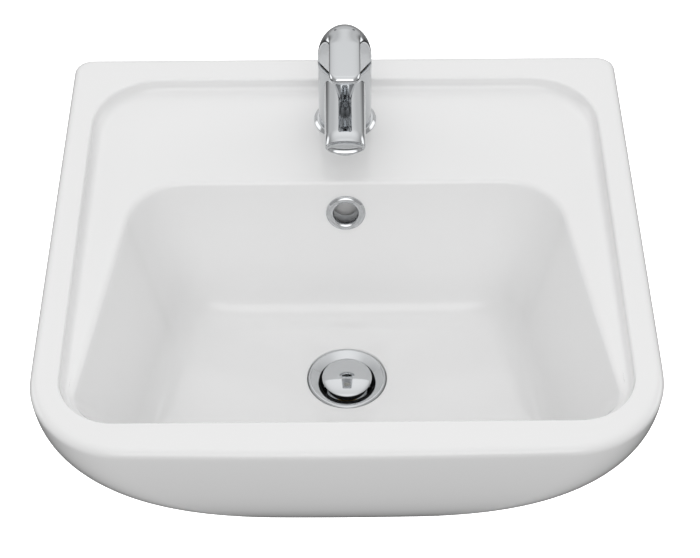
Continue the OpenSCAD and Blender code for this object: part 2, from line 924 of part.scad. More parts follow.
// Dome with a flat lever, hollow below, and cut away behind so that it can be lifted
module handle() {
    shoulder = handle_z + 4;
    rise = handle_height - shoulder;
    power = 2 / 2.3;
    relief = (column_height + 0.5 - pivot_z) / cos(lever_lift);
    socket = stem_half + running_fit;
    color("silver")
        difference() {
            at_tap() {
                rotate_extrude()
                    polygon(concat(
                        [[0, handle_z], [column_r - 0.4, handle_z], [column_r, handle_z + 0.4]],
                        [for (a = [0 : 7.5 : 90])
                            [column_r * pow(cos(a), power), shoulder + rise * pow(sin(a), power)]]
                    ));
                lever_tongue();
            }
            difference() {
                at_tap(handle_z - past)
                    cylinder(r = column_r - 3, h = rise - 7 + past);
                at_tap(handle_z + 4)
                    cylinder(r = hub_r, h = rise);
            }
            at_tap(handle_z - past)
                translate([-socket, -socket, 0])
                    cube([2 * socket, 2 * socket, screw_z + 2 - handle_z + past]);
            at_tap(screw_z)
                rotate([-90, 0, 0]) {
                    cylinder(r = 2.5, h = column_r);
                    translate([0, 0, column_r - 5.4])
                        cylinder(r = 3.2, h = column_r);
                }
            for (side = [-1, 1])
                at_tap(handle_height - 1.6)
                    translate([side * mark_x, mark_y, 0])
                        cylinder(r = 1, h = 4);
            at_tap(pivot_z + relief)
                rotate([lever_lift, 0, 0])
                    translate([-40, 0, -40])
                        cube([80, 60, 40]);
        }
}

module lever_tongue() {
    half = lever_width / 2;
    top = handle_height - 0.6;
    neck = lever_reach - 6;
    tip = [[0, 0, 0], [3, 0.3, 0.4], [5, 1.2, 1], [6, 2.4, 1.8]];
    loft(concat(
        [for (i = [0 : 4])
            let (t = i / 4)
            section(-mix(2, neck - 0.1, t), half, mix(top - 11, top - 4, pow(t, 0.6)),
                    top + 1.4 * t, 1.9)],
        [for (step = tip)
            section(-neck - step[0], half - step[1], top - 4 + step[2],
                    top + 1.4 - step[2] * 0.5, 1.9 - 0.55 * step[2])]
    ));
}

module set_screw() {
    color("gray")
        at_tap(screw_z)
            translate([0, stem_half, 0])
                rotate([-90, 0, 0])
                    difference() {
                        cylinder(r = 2.45, h = 6);
                        translate([0, 0, 3])
                            cylinder(r = 1.3, h = 4, $fn = 6);
                    }
}

module screw_cap() {
    color("gray")
        at_tap(screw_z)
            translate([0, column_r - 5.4, 0])
                rotate([-90, 0, 0])
                    cylinder(r = 3.1, h = 3.2);
}

// Small grey mark let into the handle's top
module lever_mark(side) {
    color("gray")
        at_tap(handle_height - 1.6)
            translate([side * mark_x, mark_y, 0])
                cylinder(r = 0.95, h = 1.4);
}

module mark_left() {
    lever_mark(-1);
}

module mark_right() {
    lever_mark(1);
}

// Stud that pulls the tap down on the deck
module fixing_stud() {
    color("gray")
        at_tap(-stud_length)
            translate([0, stud_y, 0])
                cylinder(r = stud_r, h = stud_length + base_height + stud_depth);
}

// Horseshoe that goes round the hoses and the stud
module horseshoe(r, drop, height) {
    around_hose = inlet_r + loose_fit;
    slot = inlet_x + around_hose;
    at_tap(-deck_china - drop)
        difference() {
            cylinder(r = r, h = height);
            translate([-slot, -2 * r, -past])
                cube([2 * slot, 2 * r + inlet_y + around_hose, height + 2 * past]);
            translate([0, stud_y, -past])
                cylinder(r = stud_r + loose_fit, h = height + 2 * past);
        }
}

module shoe_gasket() {
    color("dimgray")
        horseshoe(tap_hole_r + 7.5, 2.5, 2.5);
}

module shoe_plate() {
    color("gray")
        horseshoe(tap_hole_r + 7, 4.5, 2);
}

module fixing_nut() {
    height = 12;
    color("khaki")
        at_tap(-deck_china - 4.5 - height)
            translate([0, stud_y, 0])
                difference() {
                    cylinder(r = stud_r + 2.6, h = height, $fn = 6);
                    translate([0, 0, -past])
                        cylinder(r = stud_r + close_fit, h = height + 2 * past);
                }
}

basin();
overflow_ring();
waste_body();
waste_top_seal();
waste_low_seal();
waste_slip_ring();
waste_nut();
plug_cap();
plug_seal();
plug_stem();
latch_rotor();
latch_barrel();
latch_cap();
plug_spring();
base_gasket();
base_ring();
tap_body();
aerator_shell();
aerator_insert();
aerator_washer();
port_gasket();
cartridge_base();
disc_fixed();
disc_moving();
slider();
cartridge_shell();
carrier();
stem_pin();
lever_stem();
cartridge_nut();
handle();
set_screw();
screw_cap();
mark_left();
mark_right();
fixing_stud();
shoe_gasket();
shoe_plate();
fixing_nut();
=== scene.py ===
"""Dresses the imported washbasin: glazed china, chromed tap and waste, seals and fixings, and a studio."""
import json
import math

import bmesh
import bpy
from bpy.props import FloatProperty, FloatVectorProperty, PointerProperty
from mathutils import Matrix, Vector


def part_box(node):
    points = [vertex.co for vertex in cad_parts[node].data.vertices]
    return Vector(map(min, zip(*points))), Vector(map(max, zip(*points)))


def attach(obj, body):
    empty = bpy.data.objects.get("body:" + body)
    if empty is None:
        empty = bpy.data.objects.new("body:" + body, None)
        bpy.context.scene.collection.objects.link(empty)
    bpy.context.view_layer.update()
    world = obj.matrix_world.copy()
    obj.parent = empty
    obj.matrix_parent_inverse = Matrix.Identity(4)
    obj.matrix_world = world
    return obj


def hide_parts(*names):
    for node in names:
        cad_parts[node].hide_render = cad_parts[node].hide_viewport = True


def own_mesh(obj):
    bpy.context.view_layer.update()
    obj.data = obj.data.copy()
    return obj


bl_info = {
    "name": "Washbasin",
    "version": (1, 0, 0),
    "blender": (4, 5, 0),
    "location": "View3D > Sidebar > Washbasin",
    "description": "Builds the visible pieces and finishes of a wall-hung washbasin with its tap",
    "category": "Object",
}

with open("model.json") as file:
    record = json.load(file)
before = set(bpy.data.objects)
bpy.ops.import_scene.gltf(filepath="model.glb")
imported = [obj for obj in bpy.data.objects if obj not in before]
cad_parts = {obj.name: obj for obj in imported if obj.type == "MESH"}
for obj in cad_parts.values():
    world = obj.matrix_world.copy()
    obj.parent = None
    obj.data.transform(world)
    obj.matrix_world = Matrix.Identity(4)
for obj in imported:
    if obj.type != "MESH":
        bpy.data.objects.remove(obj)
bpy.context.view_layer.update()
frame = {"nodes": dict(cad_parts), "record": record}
MM = 0.001


def linear(hex_colour):
    """Linear RGBA of an sRGB hex colour."""
    values = [int(hex_colour[i:i + 2], 16) / 255 for i in (1, 3, 5)]
    return [v / 12.92 if v <= 0.04045 else ((v + 0.055) / 1.055) ** 2.4 for v in values] + [1.0]


def length(name, description, millimetres):
    """A length that a user can change, held in metres."""
    return FloatProperty(name=name, description=description, default=millimetres * MM,
                         unit="LENGTH", subtype="DISTANCE", precision=4)


def colour(name, description, hex_colour):
    """A colour that a user can change."""
    return FloatVectorProperty(name=name, description=description, subtype="COLOR", size=4,
                               min=0, max=1, default=linear(hex_colour))


# Places and heights that the pieces share, read from the frame
BASIN_LOW, BASIN_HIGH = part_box("basin")
RIM_Z = BASIN_HIGH.z
FOOT_Z = BASIN_LOW.z
DECK_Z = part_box("base_gasket")[0].z
FLANGE_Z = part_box("waste_body")[1].z
TAP_Y = sum(corner.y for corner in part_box("base_ring")) / 2
WASTE_Y = sum(corner.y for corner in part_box("waste_body")) / 2
# The two marks on the handle, about the tap's axis
MARK_X = 7.2 * MM
MARK_AHEAD = -1.5 * MM


class WashbasinBasinSizes(bpy.types.PropertyGroup):
    """Sizes of the china"""
    rim_round: length("Rim edge", "Radius on the rim's outer edge", 6)
    rim_side: length("Rim at the sides", "Rim width at each side", 19)
    rim_back: length("Rim at the back", "Rim width at the back", 27)
    rim_front: length("Rim at the front", "Rim width at the front", 29)
    rear_corner: length("Rear corners", "Radius of the rear corners in plan", 13)
    front_corner: length("Front corners", "Radius of the front corners in plan", 70)
    corner_gain: length("Corner gain", "How much the front corners open up towards the foot", 129)
    front_bow: length("Front bow", "How far the front edge bows out in the middle", 4.4)
    foot_half: length("Foot half width", "Half width of the foot", 82)
    cove: length("Cove", "Width of the step from the rim to the deck", 8)
    ledge_back: length("Rear ledge", "Ledge beside the bowl at the back", 28)
    ledge_front: length("Front ledge", "Ledge beside the bowl at the front", 6)
    bowl_back: length("Bowl from wall", "Wall to the rear edge of the bowl", 141)
    bowl_drop: length("Bowl depth", "Deck to the foot of the bowl's walls", 121)
    lip_round: length("Lip radius", "Radius from the deck into the bowl", 5)
    floor_round: length("Floor radius", "Radius from the walls into the floor", 28)
    china: length("China", "Thickness of the bowl's walls and the outer skin", 9)
    wall_china: length("Rear china", "Thickness behind the wall bolts", 13)


class WashbasinTapSizes(bpy.types.PropertyGroup):
    """Sizes of the tap"""
    column: length("Column radius", "Radius of the column", 21.4)
    column_height: length("Column height", "Deck to the gap under the handle", 61)
    base_flare: length("Base flare", "Base ring's width outside the column", 3.85)
    handle_rise: length("Handle rise", "Gap under the handle to its top", 32)
    flat_reach: length("Side flats", "Tap axis to the flats on the handle's sides, at their foot", 19.1)
    lever_reach: length("Lever reach", "Tap axis to the lever's tip", 59.8)
    lever_width: length("Lever width", "Width of the lever", 24)
    spout_reach: length("Spout reach", "Tap axis to the spout's nose", 97)
    spout_width: length("Spout width", "Width of the spout at the column", 33)
    spout_root: length("Spout root", "Height of the spout at the column", 28)
    spout_tip: length("Spout tip", "Height of the spout near the nose", 18.5)


class WashbasinWasteSizes(bpy.types.PropertyGroup):
    """Sizes of the waste and the overflow"""
    flange: length("Flange radius", "Radius of the waste flange", 31.4)
    plug: length("Plug radius", "Radius of the plug", 20)
    thread: length("Thread radius", "Outside radius of the waste's thread", 20.955)
    pitch: length("Thread pitch", "Pitch of the waste's thread", 2.309)
    overflow: length("Overflow radius", "Radius of the overflow hole", 11)


class WashbasinFinishes(bpy.types.PropertyGroup):
    """Colours of the finishes"""
    glaze: colour("Glaze", "White glaze", "#F4F4F4")
    body: colour("Bare china", "Unglazed china on the wall face", "#E4DED2")
    chrome: colour("Chrome", "Polished chrome plate", "#CCCED0")
    rubber: colour("Rubber", "Seals and gaskets", "#1B1B1C")
    nylon: colour("Nylon", "White plastic", "#E8E6DF")
    brass: colour("Brass", "Machined brass", "#C9A65C")
    zinc: colour("Zinc plate", "Plated steel", "#A9ACB0")
    disc: colour("Alumina", "Ceramic discs", "#ECE7DB")
    grey: colour("Grey plastic", "Marks and cap", "#6B6E70")


def mix(a, b, k):
    """The number a share k of the way from a to b."""
    return a + (b - a) * k


def mix_outline(a, b, k):
    """The outline a share k of the way from one outline to another."""
    return [mix(p, q, k) for p, q in zip(a, b)]


# Steps of a plan outline: its back, rear corner, side, front corner and the flat of its front
BACK_STEPS, REAR_STEPS, SIDE_STEPS, FRONT_STEPS, FLAT_STEPS = 6, 9, 8, 14, 7


def outline(v, bow=0.0):
    """Plan outline [rear half, front half, back y, front y, rear radius, front radius], clockwise
    from the middle of the back."""
    rear_half, front_half, back, front, rear_r, front_r = v
    quarter = math.pi / 2
    right = []
    for i in range(BACK_STEPS):
        right.append(((rear_half - rear_r) * math.sin(quarter * i / BACK_STEPS), back))
    for i in range(REAR_STEPS + 1):
        a = quarter * (1 - i / REAR_STEPS)
        right.append((rear_half - rear_r + rear_r * math.cos(a), back - rear_r + rear_r * math.sin(a)))
    for i in range(1, SIDE_STEPS):
        k = i / SIDE_STEPS
        right.append((mix(rear_half, front_half, k), mix(back - rear_r, front + front_r, k)))
    for i in range(FRONT_STEPS + 1):
        a = -quarter * i / FRONT_STEPS
        right.append((front_half - front_r + front_r * math.cos(a), front + front_r + front_r * math.sin(a)))
    for i in range(1, FLAT_STEPS + 1):
        right.append(((front_half - front_r) * math.cos(quarter * i / FLAT_STEPS), front))
    bowed = []
    for x, y in right + [(-x, y) for x, y in reversed(right[1:-1])]:
        share = max(0.0, (front + front_r - y) / front_r)
        bowed.append((x, y - bow * share * (1 - (x / front_half) ** 2)))
    return bowed


def at_height(points, z):
    """A ring of vectors from the points of an outline."""
    return [Vector((x, y, z)) for x, y in points]


def around(points, radius, z):
    """Circle round the waste whose points lie in the same directions as those of an outline."""
    circle = []
    for x, y in points:
        a = math.atan2(y - WASTE_Y, x)
        circle.append(Vector((radius * math.cos(a), WASTE_Y + radius * math.sin(a), z)))
    return circle


def between(ring, points, k, z):
    """Ring at a height, a share k of the way in plan from a ring to the points of an outline."""
    return [Vector((mix(p.x, x, k), mix(p.y, y, k), z)) for p, (x, y) in zip(ring, points)]


def first_ring(bm, points):
    """A closed ring of vertices, from a circle with as many segments."""
    made = bmesh.ops.create_circle(bm, cap_ends=False, segments=len(points), radius=1)
    for vertex, point in zip(made["verts"], points):
        vertex.co = point
    return made["verts"]


def next_ring(bm, ring, points):
    """Extrudes a closed ring and moves the new one to its points."""
    edges = [bm.edges.get((a, b)) for a, b in zip(ring, ring[1:] + ring[:1])]
    made = bmesh.ops.extrude_edge_only(bm, edges=edges)
    fresh = {g for g in made["geom"] if isinstance(g, bmesh.types.BMVert)}
    placed = []
    for vertex, point in zip(ring, points):
        other = next(e.other_vert(vertex) for e in vertex.link_edges if e.other_vert(vertex) in fresh)
        other.co = point
        placed.append(other)
    return placed


def loft(bm, rings, closed=False):
    """Skins a list of rings; a closed one returns to its first ring."""
    start = ring = first_ring(bm, rings[0])
    for points in rings[1:]:
        ring = next_ring(bm, ring, points)
    if closed:
        next_ring(bm, ring, rings[0])
        bmesh.ops.remove_doubles(bm, verts=bm.verts, dist=1e-6)
    return start, ring


def cap(bm, ring):
    """Closes an open ring with one face."""
    bmesh.ops.contextual_create(bm, geom=[bm.edges.get((a, b)) for a, b in zip(ring, ring[1:] + ring[:1])])


def rounded(corners, steps=4):
    """Profile through (radius, height, rounding) corners with each corner rounded off."""
    profile = []
    last = len(corners) - 1
    for i, (r, z, size) in enumerate(corners):
        here = Vector((r, z))
        if size == 0 or i in (0, last):
            profile.append((r, z))
            continue
        before = Vector(corners[i - 1][:2]) - here
        after = Vector(corners[i + 1][:2]) - here
        reach = min(size, 0.49 * before.length, 0.49 * after.length)
        a = here + before.normalized() * reach
        b = here + after.normalized() * reach
        for k in range(steps + 1):
            t = k / steps
            p = a * (1 - t) ** 2 + here * 2 * t * (1 - t) + b * t * t
            profile.append((p.x, p.y))
    return profile


def shade(mesh, angle):
    """Smooth shading with edges sharper than an angle left crisp."""
    mesh.shade_smooth()
    mesh.set_sharp_from_angle(angle=math.radians(angle))


def node(tree, kind, links=None, output=0, **settings):
    """Adds a node with its settings. links gives its inputs, each a value or another node's output,
    and output says which of its own outputs to hand back."""
    made = tree.nodes.new(kind)
    for key, value in settings.items():
        setattr(made, key, value)
    for key, value in (links or {}).items():
        if isinstance(value, bpy.types.NodeSocket):
            tree.links.new(value, made.inputs[key])
        else:
            made.inputs[key].default_value = value
    return made.outputs[output] if made.outputs else None


def surface(name, build):
    """The material with this name, made by its build function the first time."""
    made = bpy.data.materials.get(name)
    if made is None:
        made = bpy.data.materials.new(name)
        made.use_nodes = True
        tree = made.node_tree
        tree.nodes.clear()
        coords = node(tree, "ShaderNodeTexCoord", output="Object")
        inputs = build(tree, coords, bpy.context.scene.washbasin_finishes)
        shader = node(tree, "ShaderNodeBsdfPrincipled", inputs)
        node(tree, "ShaderNodeOutputMaterial", {"Surface": shader})
    return made


def shaded(colour_value, share):
    """A colour made darker or lighter by a share."""
    return [c * share for c in colour_value[:3]] + [1.0]


def glazed_vitreous_china(tree, coords, finishes):
    # Slip-cast china under a fired white glaze: a hard wet gloss over an even white body, wavy by a
    # few hundredths of a millimetre, and bare and matt where the casting was ground flat for the wall
    across = node(tree, "ShaderNodeSeparateXYZ", {"Vector": coords}, output="Y")
    bare = node(tree, "ShaderNodeMapRange", {"Value": across, "From Min": -1.1 * MM, "From Max": -0.4 * MM})
    cloud = node(tree, "ShaderNodeTexNoise", {"Vector": coords, "Scale": 1000 / 90, "Detail": 2.0})
    glaze = node(tree, "ShaderNodeMix", {0: cloud, 6: finishes.glaze, 7: shaded(finishes.glaze, 0.985)},
                 output=2, data_type="RGBA")
    waves = node(tree, "ShaderNodeTexNoise", {"Vector": coords, "Scale": 1000 / 30, "Detail": 1.0})
    return {
        "Base Color": node(tree, "ShaderNodeMix", {0: bare, 6: glaze, 7: finishes.body}, output=2,
                           data_type="RGBA"),
        "Roughness": node(tree, "ShaderNodeMapRange", {"Value": bare, "To Min": 0.07, "To Max": 0.8}),
        "IOR": 1.52,
        "Normal": node(tree, "ShaderNodeBump", {"Height": waves, "Distance": 0.03 * MM, "Strength": 0.4}),
    }


def polished_chrome(tree, coords, finishes):
    # Chromium plate on polished brass: a cool mirror, with a faint haze where it has been wiped
    haze = node(tree, "ShaderNodeTexNoise", {"Vector": coords, "Scale": 1000 / 14, "Detail": 4.0})
    return {
        "Base Color": finishes.chrome,
        "Metallic": 1.0,
        "Roughness": node(tree, "ShaderNodeMapRange", {"Value": haze, "From Min": 0.3, "From Max": 0.7,
                                                       "To Min": 0.03, "To Max": 0.07}),
    }


def pressed_epdm_rubber(tree, coords, finishes):
    # EPDM seal out of a press tool: near black and matt, with a fine dry grain
    grain = node(tree, "ShaderNodeTexNoise", {"Vector": coords, "Scale": 1000 / 0.8, "Detail": 4.0})
    bloom = node(tree, "ShaderNodeTexNoise", {"Vector": coords, "Scale": 1000 / 6, "Detail": 3.0})
    return {
        "Base Color": node(tree, "ShaderNodeMix",
                           {0: bloom, 6: finishes.rubber, 7: shaded(finishes.rubber, 2)},
                           output=2, data_type="RGBA"),
        "Roughness": node(tree, "ShaderNodeMapRange", {"Value": grain, "To Min": 0.5, "To Max": 0.8}),
        "Normal": node(tree, "ShaderNodeBump", {"Height": grain, "Distance": 0.05 * MM, "Strength": 0.5}),
    }


def moulded_nylon(tree, coords, finishes):
    # Injection-moulded nylon: warm white and satin, with the soft orange peel of its tool
    peel = node(tree, "ShaderNodeTexNoise", {"Vector": coords, "Scale": 1000 / 1.5, "Detail": 2.0})
    flow = node(tree, "ShaderNodeTexNoise", {"Vector": coords, "Scale": 1000 / 12, "Detail": 3.0})
    return {
        "Base Color": node(tree, "ShaderNodeMix",
                           {0: flow, 6: finishes.nylon, 7: shaded(finishes.nylon, 0.92)},
                           output=2, data_type="RGBA"),
        "Roughness": node(tree, "ShaderNodeMapRange", {"Value": flow, "To Min": 0.35, "To Max": 0.5}),
        "IOR": 1.53,
        "Normal": node(tree, "ShaderNodeBump", {"Height": peel, "Distance": 0.02 * MM, "Strength": 0.4}),
    }


def turned_brass(tree, coords, finishes):
    # Brass off the lathe: yellow metal with turning rings, drawn at 0.5 mm, coarser than a real feed
    # of 0.1 mm, so that they show
    rings = node(tree, "ShaderNodeTexWave", {"Vector": coords, "Scale": 1000 / 0.5 / 20, "Distortion": 0.6},
                 output="Fac", bands_direction="Z")
    tarnish = node(tree, "ShaderNodeTexNoise", {"Vector": coords, "Scale": 1000 / 7, "Detail": 4.0})
    return {
        "Base Color": node(tree, "ShaderNodeMix",
                           {0: tarnish, 6: finishes.brass, 7: shaded(finishes.brass, 0.75)},
                           output=2, data_type="RGBA"),
        "Metallic": 1.0,
        "Roughness": node(tree, "ShaderNodeMapRange", {"Value": rings, "To Min": 0.22, "To Max": 0.34}),
        "Normal": node(tree, "ShaderNodeBump", {"Height": rings, "Distance": 0.01 * MM, "Strength": 0.4}),
    }


def zinc_plated_steel(tree, coords, finishes):
    # Steel under bright zinc: cool grey, dulled in patches by handling
    patches = node(tree, "ShaderNodeTexNoise", {"Vector": coords, "Scale": 1000 / 5, "Detail": 5.0})
    grit = node(tree, "ShaderNodeTexNoise", {"Vector": coords, "Scale": 1000 / 0.9, "Detail": 3.0})
    return {
        "Base Color": node(tree, "ShaderNodeMix",
                           {0: patches, 6: finishes.zinc, 7: shaded(finishes.zinc, 0.7)},
                           output=2, data_type="RGBA"),
        "Metallic": 1.0,
        "Roughness": node(tree, "ShaderNodeMapRange", {"Value": patches, "To Min": 0.25, "To Max": 0.45}),
        "Normal": node(tree, "ShaderNodeBump", {"Height": grit, "Distance": 0.01 * MM, "Strength": 0.4}),
    }


def lapped_alumina(tree, coords, finishes):
    # Alumina lapped flat: dense ivory ceramic with a silky face
    grain = node(tree, "ShaderNodeTexNoise", {"Vector": coords, "Scale": 1000 / 1.0, "Detail": 4.0})
    return {
        "Base Color": node(tree, "ShaderNodeMix",
                           {0: grain, 6: finishes.disc, 7: shaded(finishes.disc, 0.93)},
                           output=2, data_type="RGBA"),
        "Roughness": node(tree, "ShaderNodeMapRange", {"Value": grain, "To Min": 0.22, "To Max": 0.34}),
        "IOR": 1.76,
    }


def moulded_grey_abs(tree, coords, finishes):
    # Moulded ABS in grey, for the snap-in cap and the two marks: a light gloss with a little flow
    flow = node(tree, "ShaderNodeTexNoise", {"Vector": coords, "Scale": 1000 / 2, "Detail": 3.0})
    return {
        "Base Color": node(tree, "ShaderNodeMix", {0: flow, 6: finishes.grey, 7: shaded(finishes.grey, 0.8)},
                           output=2, data_type="RGBA"),
        "Roughness": node(tree, "ShaderNodeMapRange", {"Value": flow, "To Min": 0.25, "To Max": 0.4}),
        "IOR": 1.54,
    }


# How strongly the floor shines by itself, so that it shows nearly white
FLOOR_GLOW = 0.8


def studio_floor(tree, coords, finishes):
    # White sheet vinyl under strong light: matt, near the top of the scale, and a little uneven
    drift = node(tree, "ShaderNodeTexNoise", {"Vector": coords, "Scale": 1000 / 400, "Detail": 2.0})
    return {
        "Base Color": node(tree, "ShaderNodeMix", {0: drift, 6: linear("#F6F6F6"), 7: linear("#F2F2F2")},
                           output=2, data_type="RGBA"),
        "Roughness": node(tree, "ShaderNodeMapRange", {"Value": drift, "To Min": 0.75, "To Max": 0.85}),
        "Emission Color": linear("#FFFFFF"),
        "Emission Strength": FLOOR_GLOW,
    }


SLOT_FINISHES = {
    "china": glazed_vitreous_china,
    "chrome": polished_chrome,
    "rubber": pressed_epdm_rubber,
    "white_plastic": moulded_nylon,
    "brass": turned_brass,
    "steel": zinc_plated_steel,
    "disc_ceramic": lapped_alumina,
    "grey_plastic": moulded_grey_abs,
}


def finish_of(slot):
    """The material of one of the record's slots."""
    build = SLOT_FINISHES[slot]
    return surface(build.__name__, build)


def baked(piece):
    """Replaces a piece's mesh with the result of its modifiers."""
    depsgraph = bpy.context.evaluated_depsgraph_get()
    mesh = bpy.data.meshes.new_from_object(piece.evaluated_get(depsgraph))
    old = piece.data
    piece.modifiers.clear()
    piece.data = mesh
    bpy.data.meshes.remove(old)
    return piece


def solid(bm, name):
    """A plain object from a bmesh, with its faces pointing outwards."""
    bmesh.ops.recalc_face_normals(bm, faces=bm.faces)
    mesh = bpy.data.meshes.new(name)
    bm.to_mesh(mesh)
    bm.free()
    made = bpy.data.objects.new(name, mesh)
    bpy.context.scene.collection.objects.link(made)
    return made


def lofted(name, rings):
    """A solid skinned over a list of rings, with both ends closed."""
    bm = bmesh.new()
    for ring in loft(bm, rings):
        cap(bm, ring)
    return solid(bm, name)


def turned(name, profile, centre=(0, 0, 0), steps=96):
    """A solid spun from a profile of (radius, height) about the upright line through centre. A
    profile that starts or ends on the axis closes there, and any other is closed on itself."""
    bm = bmesh.new()
    verts = [bm.verts.new((centre[0] + r, centre[1], centre[2] + z)) for r, z in profile]
    pairs = list(zip(verts, verts[1:]))
    if 0 not in (profile[0][0], profile[-1][0]):
        pairs.append((verts[-1], verts[0]))
    edges = [bm.edges.new(pair) for pair in pairs]
    bmesh.ops.spin(bm, geom=verts + edges, cent=centre, axis=(0, 0, 1), dvec=(0, 0, 0),
                   angle=2 * math.pi, steps=steps, use_merge=True, use_duplicate=False)
    bmesh.ops.remove_doubles(bm, verts=bm.verts, dist=1e-7)
    return solid(bm, name)


def combine(piece, *tools, operation="DIFFERENCE"):
    """Cuts, joins or intersects a piece with others, which are then deleted."""
    for tool in tools:
        step = piece.modifiers.new(tool.name, "BOOLEAN")
        step.operation = operation
        step.solver = "MANIFOLD"
        step.object = tool
    baked(piece)
    for tool in tools:
        mesh = tool.data
        bpy.data.objects.remove(tool)
        bpy.data.meshes.remove(mesh)
    return piece


def tube(radius, start, end, segments=64):
    """A plain cylinder between two points, to cut or join with."""
    bm = bmesh.new()
    axis = Vector(end) - Vector(start)
    middle = (Vector(start) + Vector(end)) / 2
    turn = axis.to_track_quat("Z", "Y").to_matrix().to_4x4()
    bmesh.ops.create_cone(bm, cap_ends=True, segments=segments, radius1=radius, radius2=radius,
                          depth=axis.length, matrix=Matrix.Translation(middle) @ turn)
    return solid(bm, "tube")


def prism(points, axis, depth):
    """A flat outline pushed along an axis, to cut or join with."""
    bm = bmesh.new()
    face = bm.faces.new([bm.verts.new(p) for p in points])
    made = bmesh.ops.extrude_face_region(bm, geom=[face])
    bmesh.ops.translate(bm, vec=Vector(axis) * depth,
                        verts=[g for g in made["geom"] if isinstance(g, bmesh.types.BMVert)])
    return solid(bm, "prism")


def place(piece, name, body, slot, *nodes, angle=35):
    """Names a finished solid, gives it its material and makes it ride on a body."""
    piece.name = name
    piece.data.name = name
    shade(piece.data, angle)
    piece.data.materials.clear()
    piece.data.materials.append(finish_of(slot))
    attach(piece, body)
    if nodes:
        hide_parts(*nodes)
    return piece


def bulge(share, power):
    """Width of a superellipse at a share of its height, from 1 at its foot to 0 at its top."""
    return max(0.0, 1 - share ** power) ** (1 / power)


# Radii in plan of the corners of the inner rim and of the bowl's mouth, the rear ones first
RIM_CORNERS = (54 * MM, 44 * MM)
MOUTH_CORNERS = (45 * MM, 25 * MM)
# How far the bowl's walls lean in over their height, in general and at the back
LEAN = 28 * MM
REAR_LEAN = 26 * MM
# Radii of the holes for the waste and the tap, and of the solid china round the waste
WASTE_HOLE = 23 * MM
TAP_HOLE = 17.5 * MM
BOSS = 42 * MM
# Half the distance between the two holes for the wall bolts
BOLT_X = 140 * MM
# The step up from the deck: shares of its width out from the rim, and of its height
STEP_PROFILE = (
    (1.6, 0), (1.26, 0), (1.13, 0.007), (0.93, 0.042), (0.706, 0.127), (0.52, 0.252), (0.385, 0.406),
    (0.309, 0.582), (0.28, 0.72), (0.246, 0.85), (0.216, 0.909), (0.161, 0.957), (0.085, 0.989), (0, 1),
    (-0.12, 1), (-0.35, 1))


def basin_outlines(b):
    """The plan outlines of the basin's inside: rim, deck, mouth of the bowl, foot of its walls."""
    half, front = BASIN_HIGH.x, BASIN_LOW.y
    rim = [half - b.rim_side, half - b.rim_side - MM, -b.rim_back, front + b.rim_front, *RIM_CORNERS]
    deck = [p + b.cove * k for p, k in zip(rim, (-1, -0.6, -1, 0.4, -0.75, -0.5))]
    mouth = [deck[0] - b.ledge_back, deck[1] - b.ledge_front, -b.bowl_back, deck[3] + 8 * MM, *MOUTH_CORNERS]
    # How far each number of the mouth's outline changes down to the foot of the walls, in millimetres
    foot = [p + q * MM for p, q in zip(mouth, (-30, -34, -26, 25, -5, 25))]
    return rim, deck, mouth, foot


def bowl_rings(b, mouth, foot, grow=0.0, steps=8):
    """Rings from the floor's edge up the fillet of the bowl; grow is the wall's thickness."""
    slope = math.atan2(b.bowl_drop, LEAN)
    fall = math.radians(3)
    foot_z = DECK_Z - b.bowl_drop
    tangent = b.floor_round * math.tan((slope - fall) / 2)
    centre_in = LEAN - tangent * math.cos(slope) + b.floor_round * math.sin(slope)
    centre_z = foot_z + tangent * math.sin(slope) + b.floor_round * math.cos(slope)
    radius = b.floor_round + grow
    rings = []
    for i in range(steps + 1):
        a = mix(fall, slope, i / steps)
        inset = centre_in - radius * math.sin(a)
        rings.append((mix_outline(mouth, foot, inset / LEAN), centre_z - radius * math.cos(a)))
    return rings


def inset_of(v, mouth, foot):
    """How far in from the mouth an outline of the bowl's walls lies."""
    return LEAN * (v[0] - mouth[0]) / (foot[0] - mouth[0])


def rim_edge(b, inset):
    """Plan outline of the basin's outer edge, set in by a distance."""
    half, front = BASIN_HIGH.x - inset, BASIN_LOW.y + b.front_bow + inset
    return [half, half, -inset, front, b.rear_corner, b.front_corner]


def skin_ring(b, s, inset=0.0, back=0.0):
    """Outline and height of the outer skin, from its top at s = 0 to the foot at s = 1."""
    front_share, side_share = bulge(s, 1.6), bulge(s, 1.9)
    half = mix(b.foot_half, BASIN_HIGH.x, side_share) - inset
    foot_front = -WASTE_Y + 76 * MM
    y_front = -mix(foot_front, -BASIN_LOW.y - b.front_bow, front_share) + inset
    corner = min(b.front_corner + b.corner_gain * (1 - side_share), half * 0.98) - inset / 3
    top = RIM_Z - b.rim_round
    return [half, half, -back, y_front, b.rear_corner, corner], top - (top - FOOT_Z - inset) * s


def waste_recess():
    """Radius and height of each ring up the waste hole and out over the edge of the flange's recess."""
    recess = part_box("waste_body")[1].x + 0.5 * MM
    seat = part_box("waste_top_seal")[0].z
    return (
        (WASTE_HOLE, FOOT_Z + 2 * MM), (WASTE_HOLE, mix(FOOT_Z, seat, 0.5)), (WASTE_HOLE, seat - 1.5 * MM),
        (WASTE_HOLE + 0.4 * MM, seat - 0.3 * MM), (WASTE_HOLE + 1.5 * MM, seat),
        (recess - 1.5 * MM, seat), (recess - 0.3 * MM, seat + 0.3 * MM), (recess, seat + 1.5 * MM),
        (recess, FLANGE_Z - 2 * MM), (recess + 0.15 * MM, FLANGE_Z - 0.9 * MM),
        (recess + 0.6 * MM, FLANGE_Z - 0.35 * MM), (recess + 1.6 * MM, FLANGE_Z - 0.1 * MM))


